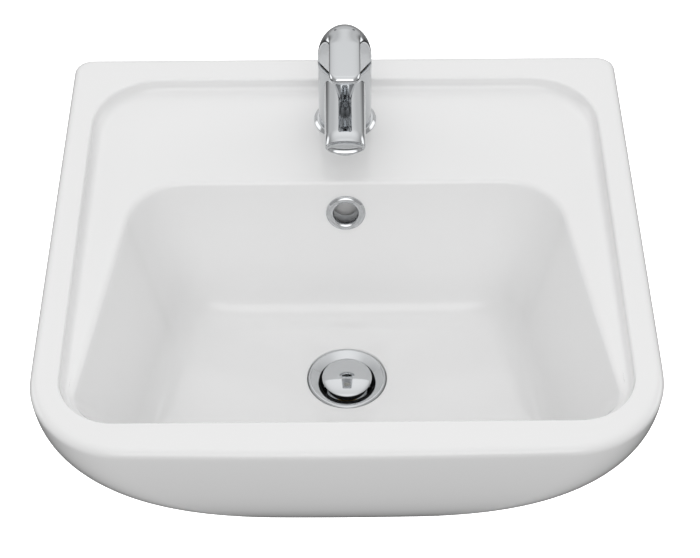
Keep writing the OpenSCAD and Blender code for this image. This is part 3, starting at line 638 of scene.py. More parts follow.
def china_body(b):
    """Everything of the basin but its hollow: the bowl, the deck, the rim and the outer skin."""
    rim, deck, mouth, foot = basin_outlines(b)
    fillet = bowl_rings(b, mouth, foot)
    directions = outline(fillet[0][0])
    rings = [around(directions, r, z) for r, z in waste_recess()]
    recess_edge, rise = rings[-1], fillet[0][1] - FLANGE_Z
    for i in range(1, 9):
        k = i / 9
        z = FLANGE_Z - 0.1 * MM + rise * (0.62 * k + 0.38 * k * k)
        rings.append(between(recess_edge, directions, k, z))
    rings += [at_height(outline(v), z) for v, z in fillet]
    slope = math.atan2(b.bowl_drop, LEAN)
    tangent = b.lip_round * math.tan(slope / 2)
    lip = [(-tangent + b.lip_round * math.sin(slope * i / 6),
            DECK_Z - b.lip_round + b.lip_round * math.cos(slope * i / 6)) for i in range(6, -1, -1)]
    top_v, top_z = fillet[-1]
    top_inset = inset_of(top_v, mouth, foot)
    wall = [(mix(top_inset, lip[0][0], i / 6), mix(top_z, lip[0][1], i / 6)) for i in range(1, 6)]
    rings += [at_height(outline(mix_outline(mouth, foot, inset / LEAN)), z) for inset, z in wall + lip]
    bowl_edge = mix_outline(mouth, foot, lip[-1][0] / LEAN)
    step_foot, inner_rim = (mix_outline(rim, deck, STEP_PROFILE[i][0]) for i in (0, -1))
    rings.append(at_height(outline(mix_outline(bowl_edge, step_foot, 0.5)), DECK_Z))
    rings += [at_height(outline(mix_outline(rim, deck, k)), mix(DECK_Z, RIM_Z, h)) for k, h in STEP_PROFILE]
    for k in (0.35, 0.75):
        flat = mix_outline(inner_rim, rim_edge(b, b.rim_round), k)
        rings.append(at_height(outline(flat, b.front_bow * k), RIM_Z))
    for i in range(8):
        a = math.pi / 2 * (1 - i / 7)
        edge = outline(rim_edge(b, b.rim_round * (1 - math.cos(a))), b.front_bow)
        rings.append(at_height(edge, RIM_Z - b.rim_round + b.rim_round * math.sin(a)))
    for i in range(1, 19):
        v, z = skin_ring(b, math.sin(math.pi / 2 * i / 18))
        rings.append(at_height(outline(v, b.front_bow), z))
    foot_edge = rings[-1]
    under = around(directions, WASTE_HOLE + 2 * MM, FOOT_Z)
    rings += [[p.lerp(q, k) for p, q in zip(foot_edge, under)] for k in (0.03, 0.3, 0.6, 1)]
    rings.append(around(directions, WASTE_HOLE + 0.4 * MM, FOOT_Z + 0.4 * MM))
    bm = bmesh.new()
    loft(bm, rings, closed=True)
    body = solid(bm, "china_body")
    step = body.modifiers.new("smooth", "SUBSURF")
    step.levels = step.render_levels = 1
    return baked(body)


def hollow_behind(b):
    """The space inside the outer skin, open to the wall and at the rear of the foot."""
    top, under_deck = RIM_Z - b.rim_round, 12 * MM
    start = math.asin((top - DECK_Z + under_deck) / (top - FOOT_Z - b.china))
    rings = []
    for i in range(17):
        v, z = skin_ring(b, math.sin(mix(start, math.pi / 2, i / 16)), b.china, b.wall_china)
        rings.append(at_height(outline(v, b.front_bow), z))
    half, wide, low = 70 * MM, 125 * MM, FOOT_Z
    right = [(half, -30 * MM), (wide, -38 * MM), (wide, low + 38 * MM), (half, low + 20 * MM)]
    back = [(-half, 0), (half, 0), *right, *[(-x, z) for x, z in reversed(right)]]
    arch_front = -WASTE_Y - 62 * MM
    under_arch = DECK_Z - 29 * MM
    arch = [(-half, low - MM), (half, low - MM), (half, under_arch), (-half, under_arch)]
    return combine(
        lofted("hollow", rings),
        prism([(x, MM, z) for x, z in back], (0, -1, 0), b.wall_china + 2 * MM),
        prism([(x, MM, z) for x, z in arch], (0, -1, 0), arch_front + MM),
        operation="UNION")


def bowl_shell(b):
    """The bowl with its walls, solid, as it stands in the hollow."""
    mouth, foot = basin_outlines(b)[2:]
    shell = bowl_rings(b, mouth, foot, grow=b.china)
    directions = outline(shell[0][0])
    low = around(directions, BOSS + 4 * MM, FLANGE_Z - b.china - 6 * MM)
    rings = [low]
    rings += [between(low, directions, k, mix(low[0].z, shell[0][1], k)) for k in (0.35, 0.7)]
    rings += [at_height(outline(v), z) for v, z in shell]
    slope, above_deck = math.atan2(b.bowl_drop, LEAN), 8 * MM
    top_inset = -b.china / math.sin(slope) - above_deck / math.tan(slope)
    low_v, low_z = shell[-1]
    low_inset = inset_of(low_v, mouth, foot)
    for k in (0.5, 1):
        v = mix_outline(mouth, foot, mix(low_inset, top_inset, k) / LEAN)
        rings.append(at_height(outline(v), mix(low_z, DECK_Z + above_deck, k)))
    return lofted("shell", rings)


def bowl_rear(b, z):
    """Where the bowl's rear wall stands at a height."""
    return -b.bowl_back - REAR_LEAN * (DECK_Z - z) / b.bowl_drop


def overflow_channel(b, half_width, near, far, top, high, low, toe):
    """The channel behind the bowl, seen from the side and pushed across. near and far say how far its
    faces stand behind the bowl, and high and low give the heights of its run to the waste, up to toe."""
    knee = DECK_Z - b.bowl_drop + 7 * MM
    head, bend = bowl_rear(b, top), bowl_rear(b, knee)
    side = [(head + near, top), (head + far, top), (bend + far, knee),
            (bend + far - 3 * MM, low + 14 * MM), (bend + far - 14 * MM, low), (toe, low),
            (toe, high), (bend + near - 16 * MM, high), (bend + near, knee - 2 * MM)]
    return prism([(-half_width, y, z) for y, z in side], (1, 0, 0), 2 * half_width)


class WASHBASIN_OT_china(bpy.types.Operator):
    """Builds the glazed basin with its hollow, channel and holes"""
    bl_idname = "washbasin.china"
    bl_label = "China"

    def execute(self, context):
        b, w = context.scene.washbasin_basin, context.scene.washbasin_waste
        ring_low, ring_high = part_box("overflow_ring")
        hole_z = (ring_low.z + ring_high.z) / 2
        hole = Vector((0, (ring_low.y + ring_high.y) / 2, hole_z))
        slope = math.atan2(b.bowl_drop, REAR_LEAN)
        normal = Vector((0, -math.sin(slope), math.cos(slope)))
        hollow = combine(
            hollow_behind(b), bowl_shell(b),
            tube(BOSS, (0, WASTE_Y, FOOT_Z - MM), (0, WASTE_Y, FLANGE_Z), 96),
            overflow_channel(b, half_width=21 * MM, near=2 * MM, far=29 * MM, top=hole_z + 26 * MM,
                             high=DECK_Z - b.bowl_drop + 5 * MM, low=FLANGE_Z - 39.5 * MM,
                             toe=WASTE_Y + 20 * MM))
        china = combine(
            china_body(b), hollow,
            overflow_channel(b, half_width=12 * MM, near=8 * MM, far=20 * MM, top=hole_z + 14 * MM,
                             high=FLANGE_Z - 16.5 * MM, low=FLANGE_Z - 28.5 * MM, toe=WASTE_Y + 15 * MM),
            tube(TAP_HOLE, (0, TAP_Y, DECK_Z - 30 * MM), (0, TAP_Y, DECK_Z + 5 * MM)),
            tube(w.overflow, hole - normal * 14 * MM, hole + normal * 12 * MM),
            *[tube(8 * MM, (x, 5 * MM, 0), (x, -20 * MM, 0)) for x in (-BOLT_X, BOLT_X)])
        place(china, "basin_china", "basin", "china", "basin")
        return {"FINISHED"}


# Sizes that the pieces of the tap share: height of the base ring, radius of the aerator and of the
# thread for the stud, and where the spout starts inside the column
BASE_RING_HEIGHT = 3.2 * MM
AERATOR_RADIUS = 12 * MM
STUD_RADIUS = 4.05 * MM
SPOUT_START = 10 * MM


def over_tap(z, y=0.0):
    """The point at a height above the deck on the tap's axis, or a distance behind the axis."""
    return Vector((0, TAP_Y, DECK_Z)) + Vector((0, y, z))


def oval(y, half, low, high, power, steps=56):
    """Ring across Y in the shape of a superellipse, seen from the front."""
    middle, rise = (low + high) / 2, (high - low) / 2
    ring = []
    for i in range(steps):
        a = 2 * math.pi * i / steps
        x = math.copysign(abs(math.cos(a)) ** (2 / power), math.cos(a))
        z = math.copysign(abs(math.sin(a)) ** (2 / power), math.sin(a))
        ring.append(Vector((half * x, y, middle + rise * z)))
    return ring


def spout_underside(t, reach):
    """Height of the spout's underside above the deck, at a distance from the tap's axis."""
    share = (reach - SPOUT_START) / (t.spout_reach - 19 * MM)
    return mix(t.column_height - 2 * MM - t.spout_root, t.column_height - t.spout_tip, share ** 0.8)


def aerator_seat(t):
    """Centre of the aerator's seat and the direction that points up its axis."""
    reach = t.spout_reach - 23.5 * MM
    height = spout_underside(t, reach) + 0.3 * MM
    tilt = math.radians(8)
    return Vector((0, TAP_Y - reach, DECK_Z + height)), Vector((0, math.sin(tilt), math.cos(tilt)))


def spout(t):
    """The spout, from inside the column over its rounded nose to an oval end with a shallow dish."""
    half = t.spout_width / 2
    tip = t.spout_reach - 16.4 * MM
    rings = []
    for i in range(15):
        k = i / 14
        reach = mix(SPOUT_START, tip, k)
        rings.append(oval(TAP_Y - reach, mix(half, half - 0.7 * MM, k), DECK_Z + spout_underside(t, reach),
                          DECK_Z + t.column_height + mix(-2 * MM, 0, k), 2.5))
    low, high = t.column_height - t.spout_tip, t.column_height
    for i in range(1, 11):
        a = math.radians(6 * i)
        drop = (1 - math.cos(a)) * 2
        rings.append(oval(TAP_Y - tip - 10.2 * MM * math.sin(a) / math.sin(math.radians(60)),
                          half - (0.7 + 0.5 * drop) * MM, DECK_Z + low + 2.2 * MM * drop,
                          DECK_Z + high - 1.8 * MM * drop, mix(2.5, 2.1, drop)))
    edge = rings[-1]
    centre = sum(edge, Vector()) / len(edge)
    wide, tall = max(p.x for p in edge), (max(p.z for p in edge) - min(p.z for p in edge)) / 2
    # How far in from the edge and how far ahead of it each ring of the dish lies
    dish = ((0.12, 0.4), (0.35, 0.7), (0.7, 0.82), (1.1, 0.75), (1.6, 0.4), (2.4, -0.2), (3.3, -0.7),
            (4.3, -1.1), (5.3, -1.25))
    for inset, ahead in dish:
        rings.append([centre + Vector(((p.x - centre.x) * (1 - inset * MM / wide), -ahead * MM,
                                       (p.z - centre.z) * (1 - inset * MM / tall))) for p in edge])
    return lofted("spout", rings)


class WASHBASIN_OT_tap_body(bpy.types.Operator):
    """Builds the tap's column with its spout, bores and ports"""
    bl_idname = "washbasin.tap_body"
    bl_label = "Tap body"

    def execute(self, context):
        t = context.scene.washbasin_tap
        low, high, r = BASE_RING_HEIGHT, t.column_height, t.column
        profile = rounded([(0, low, 0), (r, low, 0.3 * MM), (r, high, 0.5 * MM), (0, high, 0)])
        seat, up = aerator_seat(t)
        body = combine(turned("column", profile, over_tap(0), 160), spout(t),
                       tube(AERATOR_RADIUS, seat, seat + up * 10 * MM, 96), operation="UNION")
        floor_z, stud_y, outlet_y = high - 23 * MM, 12.5 * MM, -9 * MM
        cavity = tube(17.9 * MM, over_tap(floor_z), over_tap(90 * MM), 96)
        stud = tube(STUD_RADIUS, over_tap(2 * MM, stud_y), over_tap(16 * MM, stud_y), 32)
        corners = ((-3 * MM, outlet_y), (3 * MM, outlet_y), (3 * MM, 4.2 * MM), (-3 * MM, 4.2 * MM))
        port = prism([(x, TAP_Y + y, DECK_Z + floor_z - 3 * MM) for x, y in corners], (0, 0, 1), 6 * MM)
        passage = tube(4 * MM, over_tap(floor_z - MM, outlet_y), seat + up * 6 * MM, 32)
        thread = tube(11.05 * MM, seat - up * 6 * MM, seat + up * 8 * MM, 96)
        spot_face = tube(AERATOR_RADIUS + 0.1 * MM, seat - up * 12 * MM, seat, 96)
        inlets = []
        for side in (-1, 1):
            inlet = over_tap(0, -3.5 * MM) + Vector((side * 7.2 * MM, 0, 0))
            inlets.append(tube(4.46 * MM, inlet, inlet + Vector((0, 0, 14 * MM)), 32))
            inlets.append(tube(2.9 * MM, inlet, inlet + Vector((0, 0, floor_z + MM)), 24))
        combine(body, cavity, stud, port, passage, thread, spot_face, *inlets)
        place(body, "tap_body_chrome", "basin", "chrome", "tap_body", angle=28)
        return {"FINISHED"}


# The handle's body: how far its foot stands over the column, the power of its dome, and the bearing
# and lean of the flats on its sides
HANDLE_FOOT = 4 * MM
DOME_POWER = 2.1
FLAT_BEARING = math.radians(57)
FLAT_LEAN = math.radians(10)


def dome(t):
    """Height above the deck of the foot of the handle's dome, and the dome's rise."""
    foot = t.column_height + HANDLE_FOOT
    return foot, t.column_height + t.handle_rise - foot


def vault(t, r):
    """Height above the deck of the handle's vault, at a distance from its ridge."""
    foot, rise = dome(t)
    return foot + rise * bulge(r / t.column, DOME_POWER)


def body_radius(t, bearing, z):
    """Radius of the handle's round body at a height above the deck, less its two side flats.
    The bearing is measured from the front."""
    foot, rise = dome(t)
    radius = t.column * bulge(max(0.0, z - foot) / rise, DOME_POWER)
    facing = math.cos(abs(bearing) - FLAT_BEARING)
    if facing < 0.2 or radius == 0:
        return radius
    flat = (t.flat_reach - (z - t.column_height) * math.tan(FLAT_LEAN)) / facing
    sharpness = 60
    return radius * (1 + (radius / flat) ** sharpness) ** (-1 / sharpness)


def body_height(t, bearing, r):
    """Height above the deck at which the handle's body has a radius."""
    low, high = t.column_height, t.column_height + t.handle_rise
    for _ in range(30):
        middle = (low + high) / 2
        if body_radius(t, bearing, middle) > r:
            low = middle
        else:
            high = middle
    return low


def smooth_step(low, high, value):
    """Rises smoothly from 0 at low to 1 at high."""
    k = min(1.0, max(0.0, (value - low) / (high - low)))
    return k * k * (3 - 2 * k)


def lever_top(t, x, ahead):
    """Height above the deck of the handle's upper face: a vault behind, a flat lever ahead."""
    half = t.lever_width / 2
    flat = t.column_height + t.handle_rise - 1.1 * MM * (abs(x) / half) ** 4
    return mix(vault(t, math.hypot(x, min(0.0, ahead))), flat, smooth_step(1 * MM, 16 * MM, ahead))


def lever_plan(t):
    """The lever's outline about the tap's axis, each point with its inward direction and the point
    of the ridge that it looks to. The second number of each is how far ahead it lies."""
    half, corner = t.lever_width / 2, 6.5 * MM
    ridge_end = t.lever_reach - 10 * MM
    right = []
    for degrees in (0, 6, 12, 18, 24, 30, 36, 42, 48, 54, 60, 66, 70, 73, 76, 79, 81.5, 84, 86, 88, 90):
        a = math.radians(degrees)
        towards = Vector((-math.sin(a), math.cos(a)))
        right.append((-half * towards, towards, Vector((0, 0))))
    # Stations along the straight side, in 54ths of its length
    stations = [0.5 * k for k in range(1, 13)] + list(range(7, 21))
    stations += [22, 24, 26.5, 29, 32, 35, 38, 41, 44, 47, 49, 51, 52.5]
    for station in stations:
        ahead = station * (t.lever_reach - corner) / 54
        right.append((Vector((half, ahead)), Vector((-1, 0)), Vector((0, min(ahead, ridge_end)))))
    for i in range(10):
        a = math.radians(10 * i)
        towards = Vector((-math.cos(a), -math.sin(a)))
        centre = Vector((half - corner, t.lever_reach - corner))
        right.append((centre - corner * towards, towards, Vector((0, ridge_end))))
    for x in (4, 2.6, 1.2, 0):
        right.append((Vector((x * MM, t.lever_reach)), Vector((0, -1)), Vector((0, ridge_end))))
    left = [[Vector((-v.x, v.y)) for v in row] for row in reversed(right[1:-1])]
    return right + left


def lever_column(t, edge_point, inward, ridge):
    """Points of (x, ahead, height) from the handle's ridge over its edge and down to its foot."""
    reach = edge_point.length
    bearing = math.atan2(edge_point.x, edge_point.y)
    ahead = edge_point.y
    top = t.column_height + t.handle_rise
    share = min(1.0, max(0.0, (ahead - 2 * MM) / (t.lever_reach - 8 * MM)))
    under = mix(top - 11.5 * MM, top - 5.6 * MM, share ** 0.6)
    edge = mix(1.2 * MM, 3.8 * MM, smooth_step(t.lever_reach - 9 * MM, t.lever_reach - 3 * MM, ahead))
    meet = body_height(t, bearing, reach)
    overhang = ahead > 0 and reach - edge > body_radius(t, bearing, under)
    step = lever_top(t, edge_point.x, ahead) - (under if overhang else meet)
    drop = min(edge, 0.6 * max(0.0, step))
    inner = edge_point + inward * edge
    points = []
    # Over the upper face, then round the edge
    for k in (0, 0.12, 0.25, 0.38, 0.5, 0.62, 0.74, 0.85, 0.94):
        p = ridge + (inner - ridge) * k
        points.append((p.x, p.y, lever_top(t, p.x, p.y)))
    for degrees in (0, 12, 25, 38, 52, 66, 79, 90):
        a = math.radians(degrees)
        p = edge_point + inward * edge * (1 - math.sin(a))
        points.append((p.x, p.y, lever_top(t, p.x, p.y) - drop * (1 - math.cos(a))))
    brink = points[-1][2]
    along = Vector((math.sin(bearing), math.cos(bearing)))
    # Back under the lever to the body, or straight down where nothing hangs over
    if overhang:
        points.append((edge_point.x, edge_point.y, mix(brink, under + 0.8 * MM, 0.5)))
        points.append((edge_point.x, edge_point.y, under + 0.8 * MM))
        for offset, height in ((0.24, 0.24), (0.8, 0)):
            p = edge_point + inward * offset * MM
            points.append((p.x, p.y, under + height * MM))
        join = under
        back = along * body_radius(t, bearing, join)
        for k in (0.35, 0.7):
            q = p + (back - p) * k
            points.append((q.x, q.y, under))
    else:
        for k in (1, 2, 3):
            p = edge_point + along * 0.12 * MM * k
            height = mix(brink, body_height(t, bearing, p.length), k / 3)
            points.append((p.x, p.y, height))
        for k in (1, 2, 3):
            join = max(t.column_height + 6 * MM, height - 0.4 * MM * k)
            p = along * body_radius(t, bearing, join)
            points.append((p.x, p.y, join))
    # Down the body to its rounded foot, and in over the foot's underside
    foot = t.column_height + 1.3 * MM
    for k in range(1, 20):
        share = 1 - k / 19
        rise = share if overhang else math.sin(math.pi / 2 * share)
        z = foot + 1.2 * MM + (join - foot - 1.2 * MM) * rise
        p = along * body_radius(t, bearing, z)
        points.append((p.x, p.y, z))
    for offset, height in ((0.06, 0.7), (0.25, 0.3), (0.6, 0.06), (1.1, 0), (3, 0), (10, 0)):
        p = along * (body_radius(t, bearing, foot) - offset * MM)
        points.append((p.x, p.y, foot + height * MM))
    return points


def mark_seat(t, side):
    """Middle of the floor under a mark, the left one at side -1 and the right one at 1."""
    return Vector((side * MARK_X, TAP_Y - MARK_AHEAD, DECK_Z + t.column_height + t.handle_rise - 2.6 * MM))


class WASHBASIN_OT_handle(bpy.types.Operator):
    """Builds the handle: its dome, the lever that grows out of it, and the hollow underneath"""
    bl_idname = "washbasin.handle"
    bl_label = "Handle"

    def execute(self, context):
        t = context.scene.washbasin_tap
        columns = [[over_tap(0) + Vector((x, -ahead, z)) for x, ahead, z in lever_column(t, *row)]
                   for row in lever_plan(t)]
        bm = bmesh.new()
        foot_ring = loft(bm, [list(ring) for ring in zip(*columns)])[1]
        cap(bm, foot_ring)
        bmesh.ops.remove_doubles(bm, verts=bm.verts, dist=1e-6)
        handle = solid(bm, "handle")
        # The hollow over the cartridge leaves a post, with a square socket for the lever stem
        foot = t.column_height + MM
        hollow = tube(15 * MM, over_tap(foot - 3 * MM), over_tap(foot + 15 * MM), 96)
        combine(hollow, tube(7 * MM, over_tap(foot + 4 * MM), over_tap(foot + 26 * MM), 48))
        half = 3.9 * MM
        socket = prism([(x, TAP_Y + y, DECK_Z + foot - MM) for x, y in (
            (-half, -half), (half, -half), (half, half), (-half, half))], (0, 0, 1), 16 * MM)
        screw, back = over_tap(t.column_height + 14 * MM), Vector((0, 1, 0))
        # The underside is cut back so that the handle clears the column when it is lifted
        pivot = Vector((0, TAP_Y, DECK_Z + t.column_height - 3.5 * MM))
        lift = math.radians(25)
        slope = Vector((0, math.cos(lift), math.sin(lift)))
        across = Vector((0, math.sin(lift), -math.cos(lift)))
        start = pivot + Vector((-40 * MM, 0, 4 * MM / math.cos(lift)))
        wedge = [start, start + slope * 60 * MM, start + slope * 60 * MM + across * 40 * MM,
                 start + across * 40 * MM]
        marks = [tube(MM, mark_seat(t, side), mark_seat(t, side) + Vector((0, 0, 6 * MM)), 32)
                 for side in (-1, 1)]
        combine(handle, hollow, socket, tube(2.5 * MM, screw, screw + back * 30 * MM, 32),
                tube(3.2 * MM, screw + back * (t.column - 5.4 * MM), screw + back * 40 * MM, 48),
                prism(wedge, (1, 0, 0), 80 * MM), *marks)
        place(handle, "handle_chrome", "lever", "chrome", "handle", angle=32)
        return {"FINISHED"}


class WASHBASIN_OT_marks(bpy.types.Operator):
    """Builds the two grey marks, flush with the handle's top, and the cap over its set screw"""
    bl_idname = "washbasin.marks"
    bl_label = "Marks and screw cap"

    def execute(self, context):
        t = context.scene.washbasin_tap
        for side, name in ((-1, "mark_left"), (1, "mark_right")):
            seat, radius = mark_seat(t, side), 0.95 * MM
            rise = DECK_Z + lever_top(t, MARK_X, MARK_AHEAD) - seat.z + 0.06 * MM
            profile = rounded([(0, 0, 0), (radius, 0, 0), (radius, rise - 0.02 * MM, 0.15 * MM),
                               (0, rise, 0)])
            place(turned(name, profile, seat, 32), name + "_inlay", "lever", "grey_plastic", name)
        low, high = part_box("screw_cap")
        radius = 3.1 * MM
        cover = turned("screw_cap", rounded([
            (0, 0, 0), (radius, 0, 0.2 * MM), (radius, 2.6 * MM, 0.5 * MM), (1.2 * MM, 2.9 * MM, 0.3 * MM),
            (0, 2.6 * MM, 0)]), steps=48)
        cover.data.transform(Matrix.Translation((0, low.y, (low.z + high.z) / 2))
                             @ Matrix.Rotation(-math.pi / 2, 4, "X"))
        place(cover, "screw_cap_moulding", "lever", "grey_plastic", "screw_cap")
        return {"FINISHED"}


class WASHBASIN_OT_base_ring(bpy.types.Operator):
    """Builds the ring that the tap stands on"""
    bl_idname = "washbasin.base_ring"
    bl_label = "Base ring"

    def execute(self, context):
        t = context.scene.washbasin_tap
        outer, inner, groove = t.column + t.base_flare, 18.5 * MM, t.column + 2.3 * MM
        top = BASE_RING_HEIGHT
        ring = turned("base_ring", rounded([
            (inner, top, 0), (inner, 1.2 * MM, 0), (groove, 1.2 * MM, 0), (groove, 0, 0.1 * MM),
            (outer, 0, 0.15 * MM), (outer, 0.9 * MM, 0.4 * MM), (t.column + 1.4 * MM, top, 0.7 * MM),
            (t.column - MM, top, 0)], 6), (0, TAP_Y, DECK_Z), 160)
        place(ring, "base_ring_chrome", "basin", "chrome", "base_ring", angle=28)
        return {"FINISHED"}


class WASHBASIN_OT_aerator(bpy.types.Operator):
    """Builds the chromed housing of the aerator"""
    bl_idname = "washbasin.aerator"
    bl_label = "Aerator housing"

    def execute(self, context):
        seat, up = aerator_seat(context.scene.washbasin_tap)
        r, bore, thread = AERATOR_RADIUS, 9.8 * MM, 11 * MM
        housing = turned("aerator_shell", rounded([
            (bore - 0.6 * MM, -3.6 * MM, 0), (bore - 0.6 * MM, -4.6 * MM, 0.25 * MM),
            (r, -4.6 * MM, 0.9 * MM), (r, 0, 0.15 * MM), (thread, 0, 0), (thread, 6 * MM, 0.2 * MM),
            (bore, 6 * MM, 0.2 * MM), (bore, -3.6 * MM, 0)], 5), steps=128)
        housing.data.transform(Matrix.Translation(seat) @ up.to_track_quat("Z", "Y").to_matrix().to_4x4())
        place(housing, "aerator_chrome", "basin", "chrome", "aerator_shell", angle=28)
        return {"FINISHED"}


class WASHBASIN_OT_overflow_ring(bpy.types.Operator):
    """Builds the chromed ring round the overflow hole"""
    bl_idname = "washbasin.overflow_ring"
    bl_label = "Overflow ring"

    def execute(self, context):
        b, w = context.scene.washbasin_basin, context.scene.washbasin_waste
        hole_z = DECK_Z - 28 * MM
        neck, bore, lip = w.overflow - 0.1 * MM, w.overflow - 1.4 * MM, w.overflow + 4.7 * MM
        ring = turned("overflow_ring", rounded([
            (bore, -11 * MM, 0), (neck, -11 * MM, 0), (neck, 0, 0), (lip, 0, 0.1 * MM),
            (lip, 1.2 * MM, 0.6 * MM), (lip - 1.6 * MM, 2.7 * MM, 1.2 * MM),
            (bore + 2.6 * MM, 2.85 * MM, 1.2 * MM), (bore + 0.7 * MM, 2.1 * MM, 0.8 * MM),
            (bore, 0.4 * MM, 0.8 * MM)], 6), steps=128)
        ring.data.transform(Matrix.Translation((0, bowl_rear(b, hole_z), hole_z))
                            @ Matrix.Rotation(math.atan2(b.bowl_drop, REAR_LEAN), 4, "X"))
        place(ring, "overflow_ring_chrome", "basin", "chrome", "overflow_ring", angle=28)
        return {"FINISHED"}


def thread_ridge(radius, depth, pitch, low, high):
    """A helical ridge for a pipe thread, from low to high about the upright axis through the origin."""
    turns = (high - low) / pitch
    steps = int(36 * turns)
    root, flank, half = radius - depth - 0.4 * MM, radius - depth * 0.85, pitch * 0.46
    points = ((root, -half), (flank, -half * 0.8), (radius, -half * 0.12), (radius, half * 0.12),
              (flank, half * 0.8), (root, half))
    bm = bmesh.new()
    verts = [bm.verts.new((r, 0, low + z)) for r, z in points]
    face = bm.faces.new(verts)
    bmesh.ops.spin(bm, geom=[face, *face.edges, *verts], cent=(0, 0, 0), axis=(0, 0, 1),
                   dvec=(0, 0, (high - low) / steps), angle=2 * math.pi * turns, steps=steps,
                   use_merge=False, use_duplicate=False)
    return solid(bm, "thread")


class WASHBASIN_OT_waste(bpy.types.Operator):
    """Builds the waste: dished flange, slotted tube with its thread, and the cross inside"""
    bl_idname = "washbasin.waste"
    bl_label = "Waste body"

    def execute(self, context):
        w = context.scene.washbasin_waste
        bottom, nut_low = (FLANGE_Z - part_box(name)[0].z for name in ("waste_body", "waste_nut"))
        root, bore, groove = w.plug + 2.4 * MM, 17.8 * MM, w.thread - 1.3 * MM
        dish, throat = w.plug + 1.9 * MM, w.plug + 0.9 * MM
        body = turned("waste", rounded([
            (bore, -11 * MM, 0.4 * MM), (bore, -bottom, 0.4 * MM), (groove, -bottom, 0.5 * MM),
            (groove, -12 * MM, 0.2 * MM), (root, -11 * MM, 0.2 * MM), (root, -6 * MM, 0.3 * MM),
            (w.flange, -6 * MM, 0.3 * MM), (w.flange, -1.1 * MM, 0.8 * MM),
            (w.flange - 1.8 * MM, 0, 1.4 * MM), (dish, -3.6 * MM, 1.6 * MM), (throat, -4.8 * MM, 0.6 * MM),
            (throat, -8 * MM, 0.4 * MM)], 6), steps=160)
        # The thread has a gap where the nut's lower face stands
        for low, high in ((-bottom + 1.4 * MM, -nut_low - 1.5 * MM), (-nut_low + 2 * MM, -31 * MM)):
            combine(body, thread_ridge(w.thread, 1.1 * MM, w.pitch, low, high), operation="UNION")
        latch_low, latch_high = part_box("latch_barrel")
        barrel, floor_z = latch_high.x - 2 * MM, latch_low.z - FLANGE_Z + 2 * MM
        near, far, low, high = barrel + 0.1 * MM, barrel + 2.6 * MM, floor_z - 0.5 * MM, floor_z + 5.5 * MM
        cross = [turned("hub", [(near, low), (far, low), (far, high), (near, high)])]
        near, far, half = barrel + 1.6 * MM, bore + 0.6 * MM, 1.1 * MM
        for i in range(3):
            turn = Matrix.Rotation(math.radians(120 * i + 90), 3, "Z")
            corners = [(near, -half), (far, -half), (far, half), (near, half)]
            cross.append(prism([turn @ Vector((x, y, low)) for x, y in corners], (0, 0, 1), 5 * MM))
        combine(body, *cross, operation="UNION")
        r, low, high = 3.5 * MM, -27 * MM, -20 * MM
        half_turn = [math.pi * k / 12 for k in range(13)]
        slot = [(r * math.cos(a), high + r * math.sin(a)) for a in half_turn]
        slot += [(r * math.cos(math.pi + a), low + r * math.sin(math.pi + a)) for a in half_turn]
        slots = []
        for i in range(4):
            turn = Matrix.Rotation(math.radians(90 * i), 3, "Z")
            start = [turn @ Vector((bore - 3 * MM, y, z)) for y, z in slot]
            slots.append(prism(start, turn @ Vector((1, 0, 0)), 10 * MM))
        combine(body, *slots)
        body.data.transform(Matrix.Translation((0, WASTE_Y, FLANGE_Z)))
        place(body, "waste_chrome", "basin", "chrome", "waste_body", angle=28)
        return {"FINISHED"}


class WASHBASIN_OT_plug(bpy.types.Operator):
    """Builds the plug's domed cap"""
    bl_idname = "washbasin.plug"
    bl_label = "Plug"

    def execute(self, context):
        r = context.scene.washbasin_waste.plug
        core, stem = r - 8 * MM, 3.05 * MM
        low, rise, spread = -0.2 * MM, 2.3 * MM, 1.35
        profile = []
        for i in range(17):
            a = spread * i / 16
            profile.append((r * math.sin(a) / math.sin(spread) * 0.985,
                            low + rise * (math.cos(a) - math.cos(spread)) / (1 - math.cos(spread))))
        profile += rounded([
            (r - 0.3 * MM, low, 0), (r, -0.35 * MM, 0.12 * MM), (r, -0.75 * MM, 0.12 * MM),
            (r - 0.5 * MM, -MM, 0.1 * MM), (core, -MM, 0), (core, -4.5 * MM, 0),
            (core + 2.5 * MM, -4.5 * MM, 0.1 * MM), (core + 2.5 * MM, -5.5 * MM, 0.2 * MM),
            (7 * MM, -6 * MM, 0.2 * MM), (7 * MM, -7.5 * MM, 0.2 * MM), (stem, -7.5 * MM, 0.1 * MM),
            (stem, -3.5 * MM, 0), (0, -3.5 * MM, 0)], 5)[1:]
        plug = turned("plug", profile, (0, WASTE_Y, FLANGE_Z), 128)
        place(plug, "plug_chrome", "plug", "chrome", "plug_cap", angle=28)
        return {"FINISHED"}


class WASHBASIN_OT_plug_seal(bpy.types.Operator):
    """Builds the rubber seal under the plug's cap, with the skirt that guides it in the throat"""
    bl_idname = "washbasin.plug_seal"
    bl_label = "Plug seal"

    def execute(self, context):
        r = context.scene.washbasin_waste.plug
        hold, skirt, bottom = r - 7.95 * MM, r - 3.5 * MM, -10.2 * MM
        seal = turned("plug_seal_ring", rounded([
            (hold, -1.05 * MM, 0), (r - MM, -1.05 * MM, 0.4 * MM), (r - 1.5 * MM, -4.4 * MM, 0.4 * MM),
            (skirt, -4.8 * MM, 0.4 * MM), (skirt - 0.2 * MM, bottom, 0.4 * MM),
            (skirt - 1.3 * MM, bottom, 0.4 * MM), (skirt - 1.3 * MM, -4.45 * MM, 0),
            (hold, -4.45 * MM, 0)], 5), (0, WASTE_Y, FLANGE_Z), 128)
        place(seal, "plug_seal_rubber", "plug", "rubber", "plug_seal", angle=28)
        return {"FINISHED"}


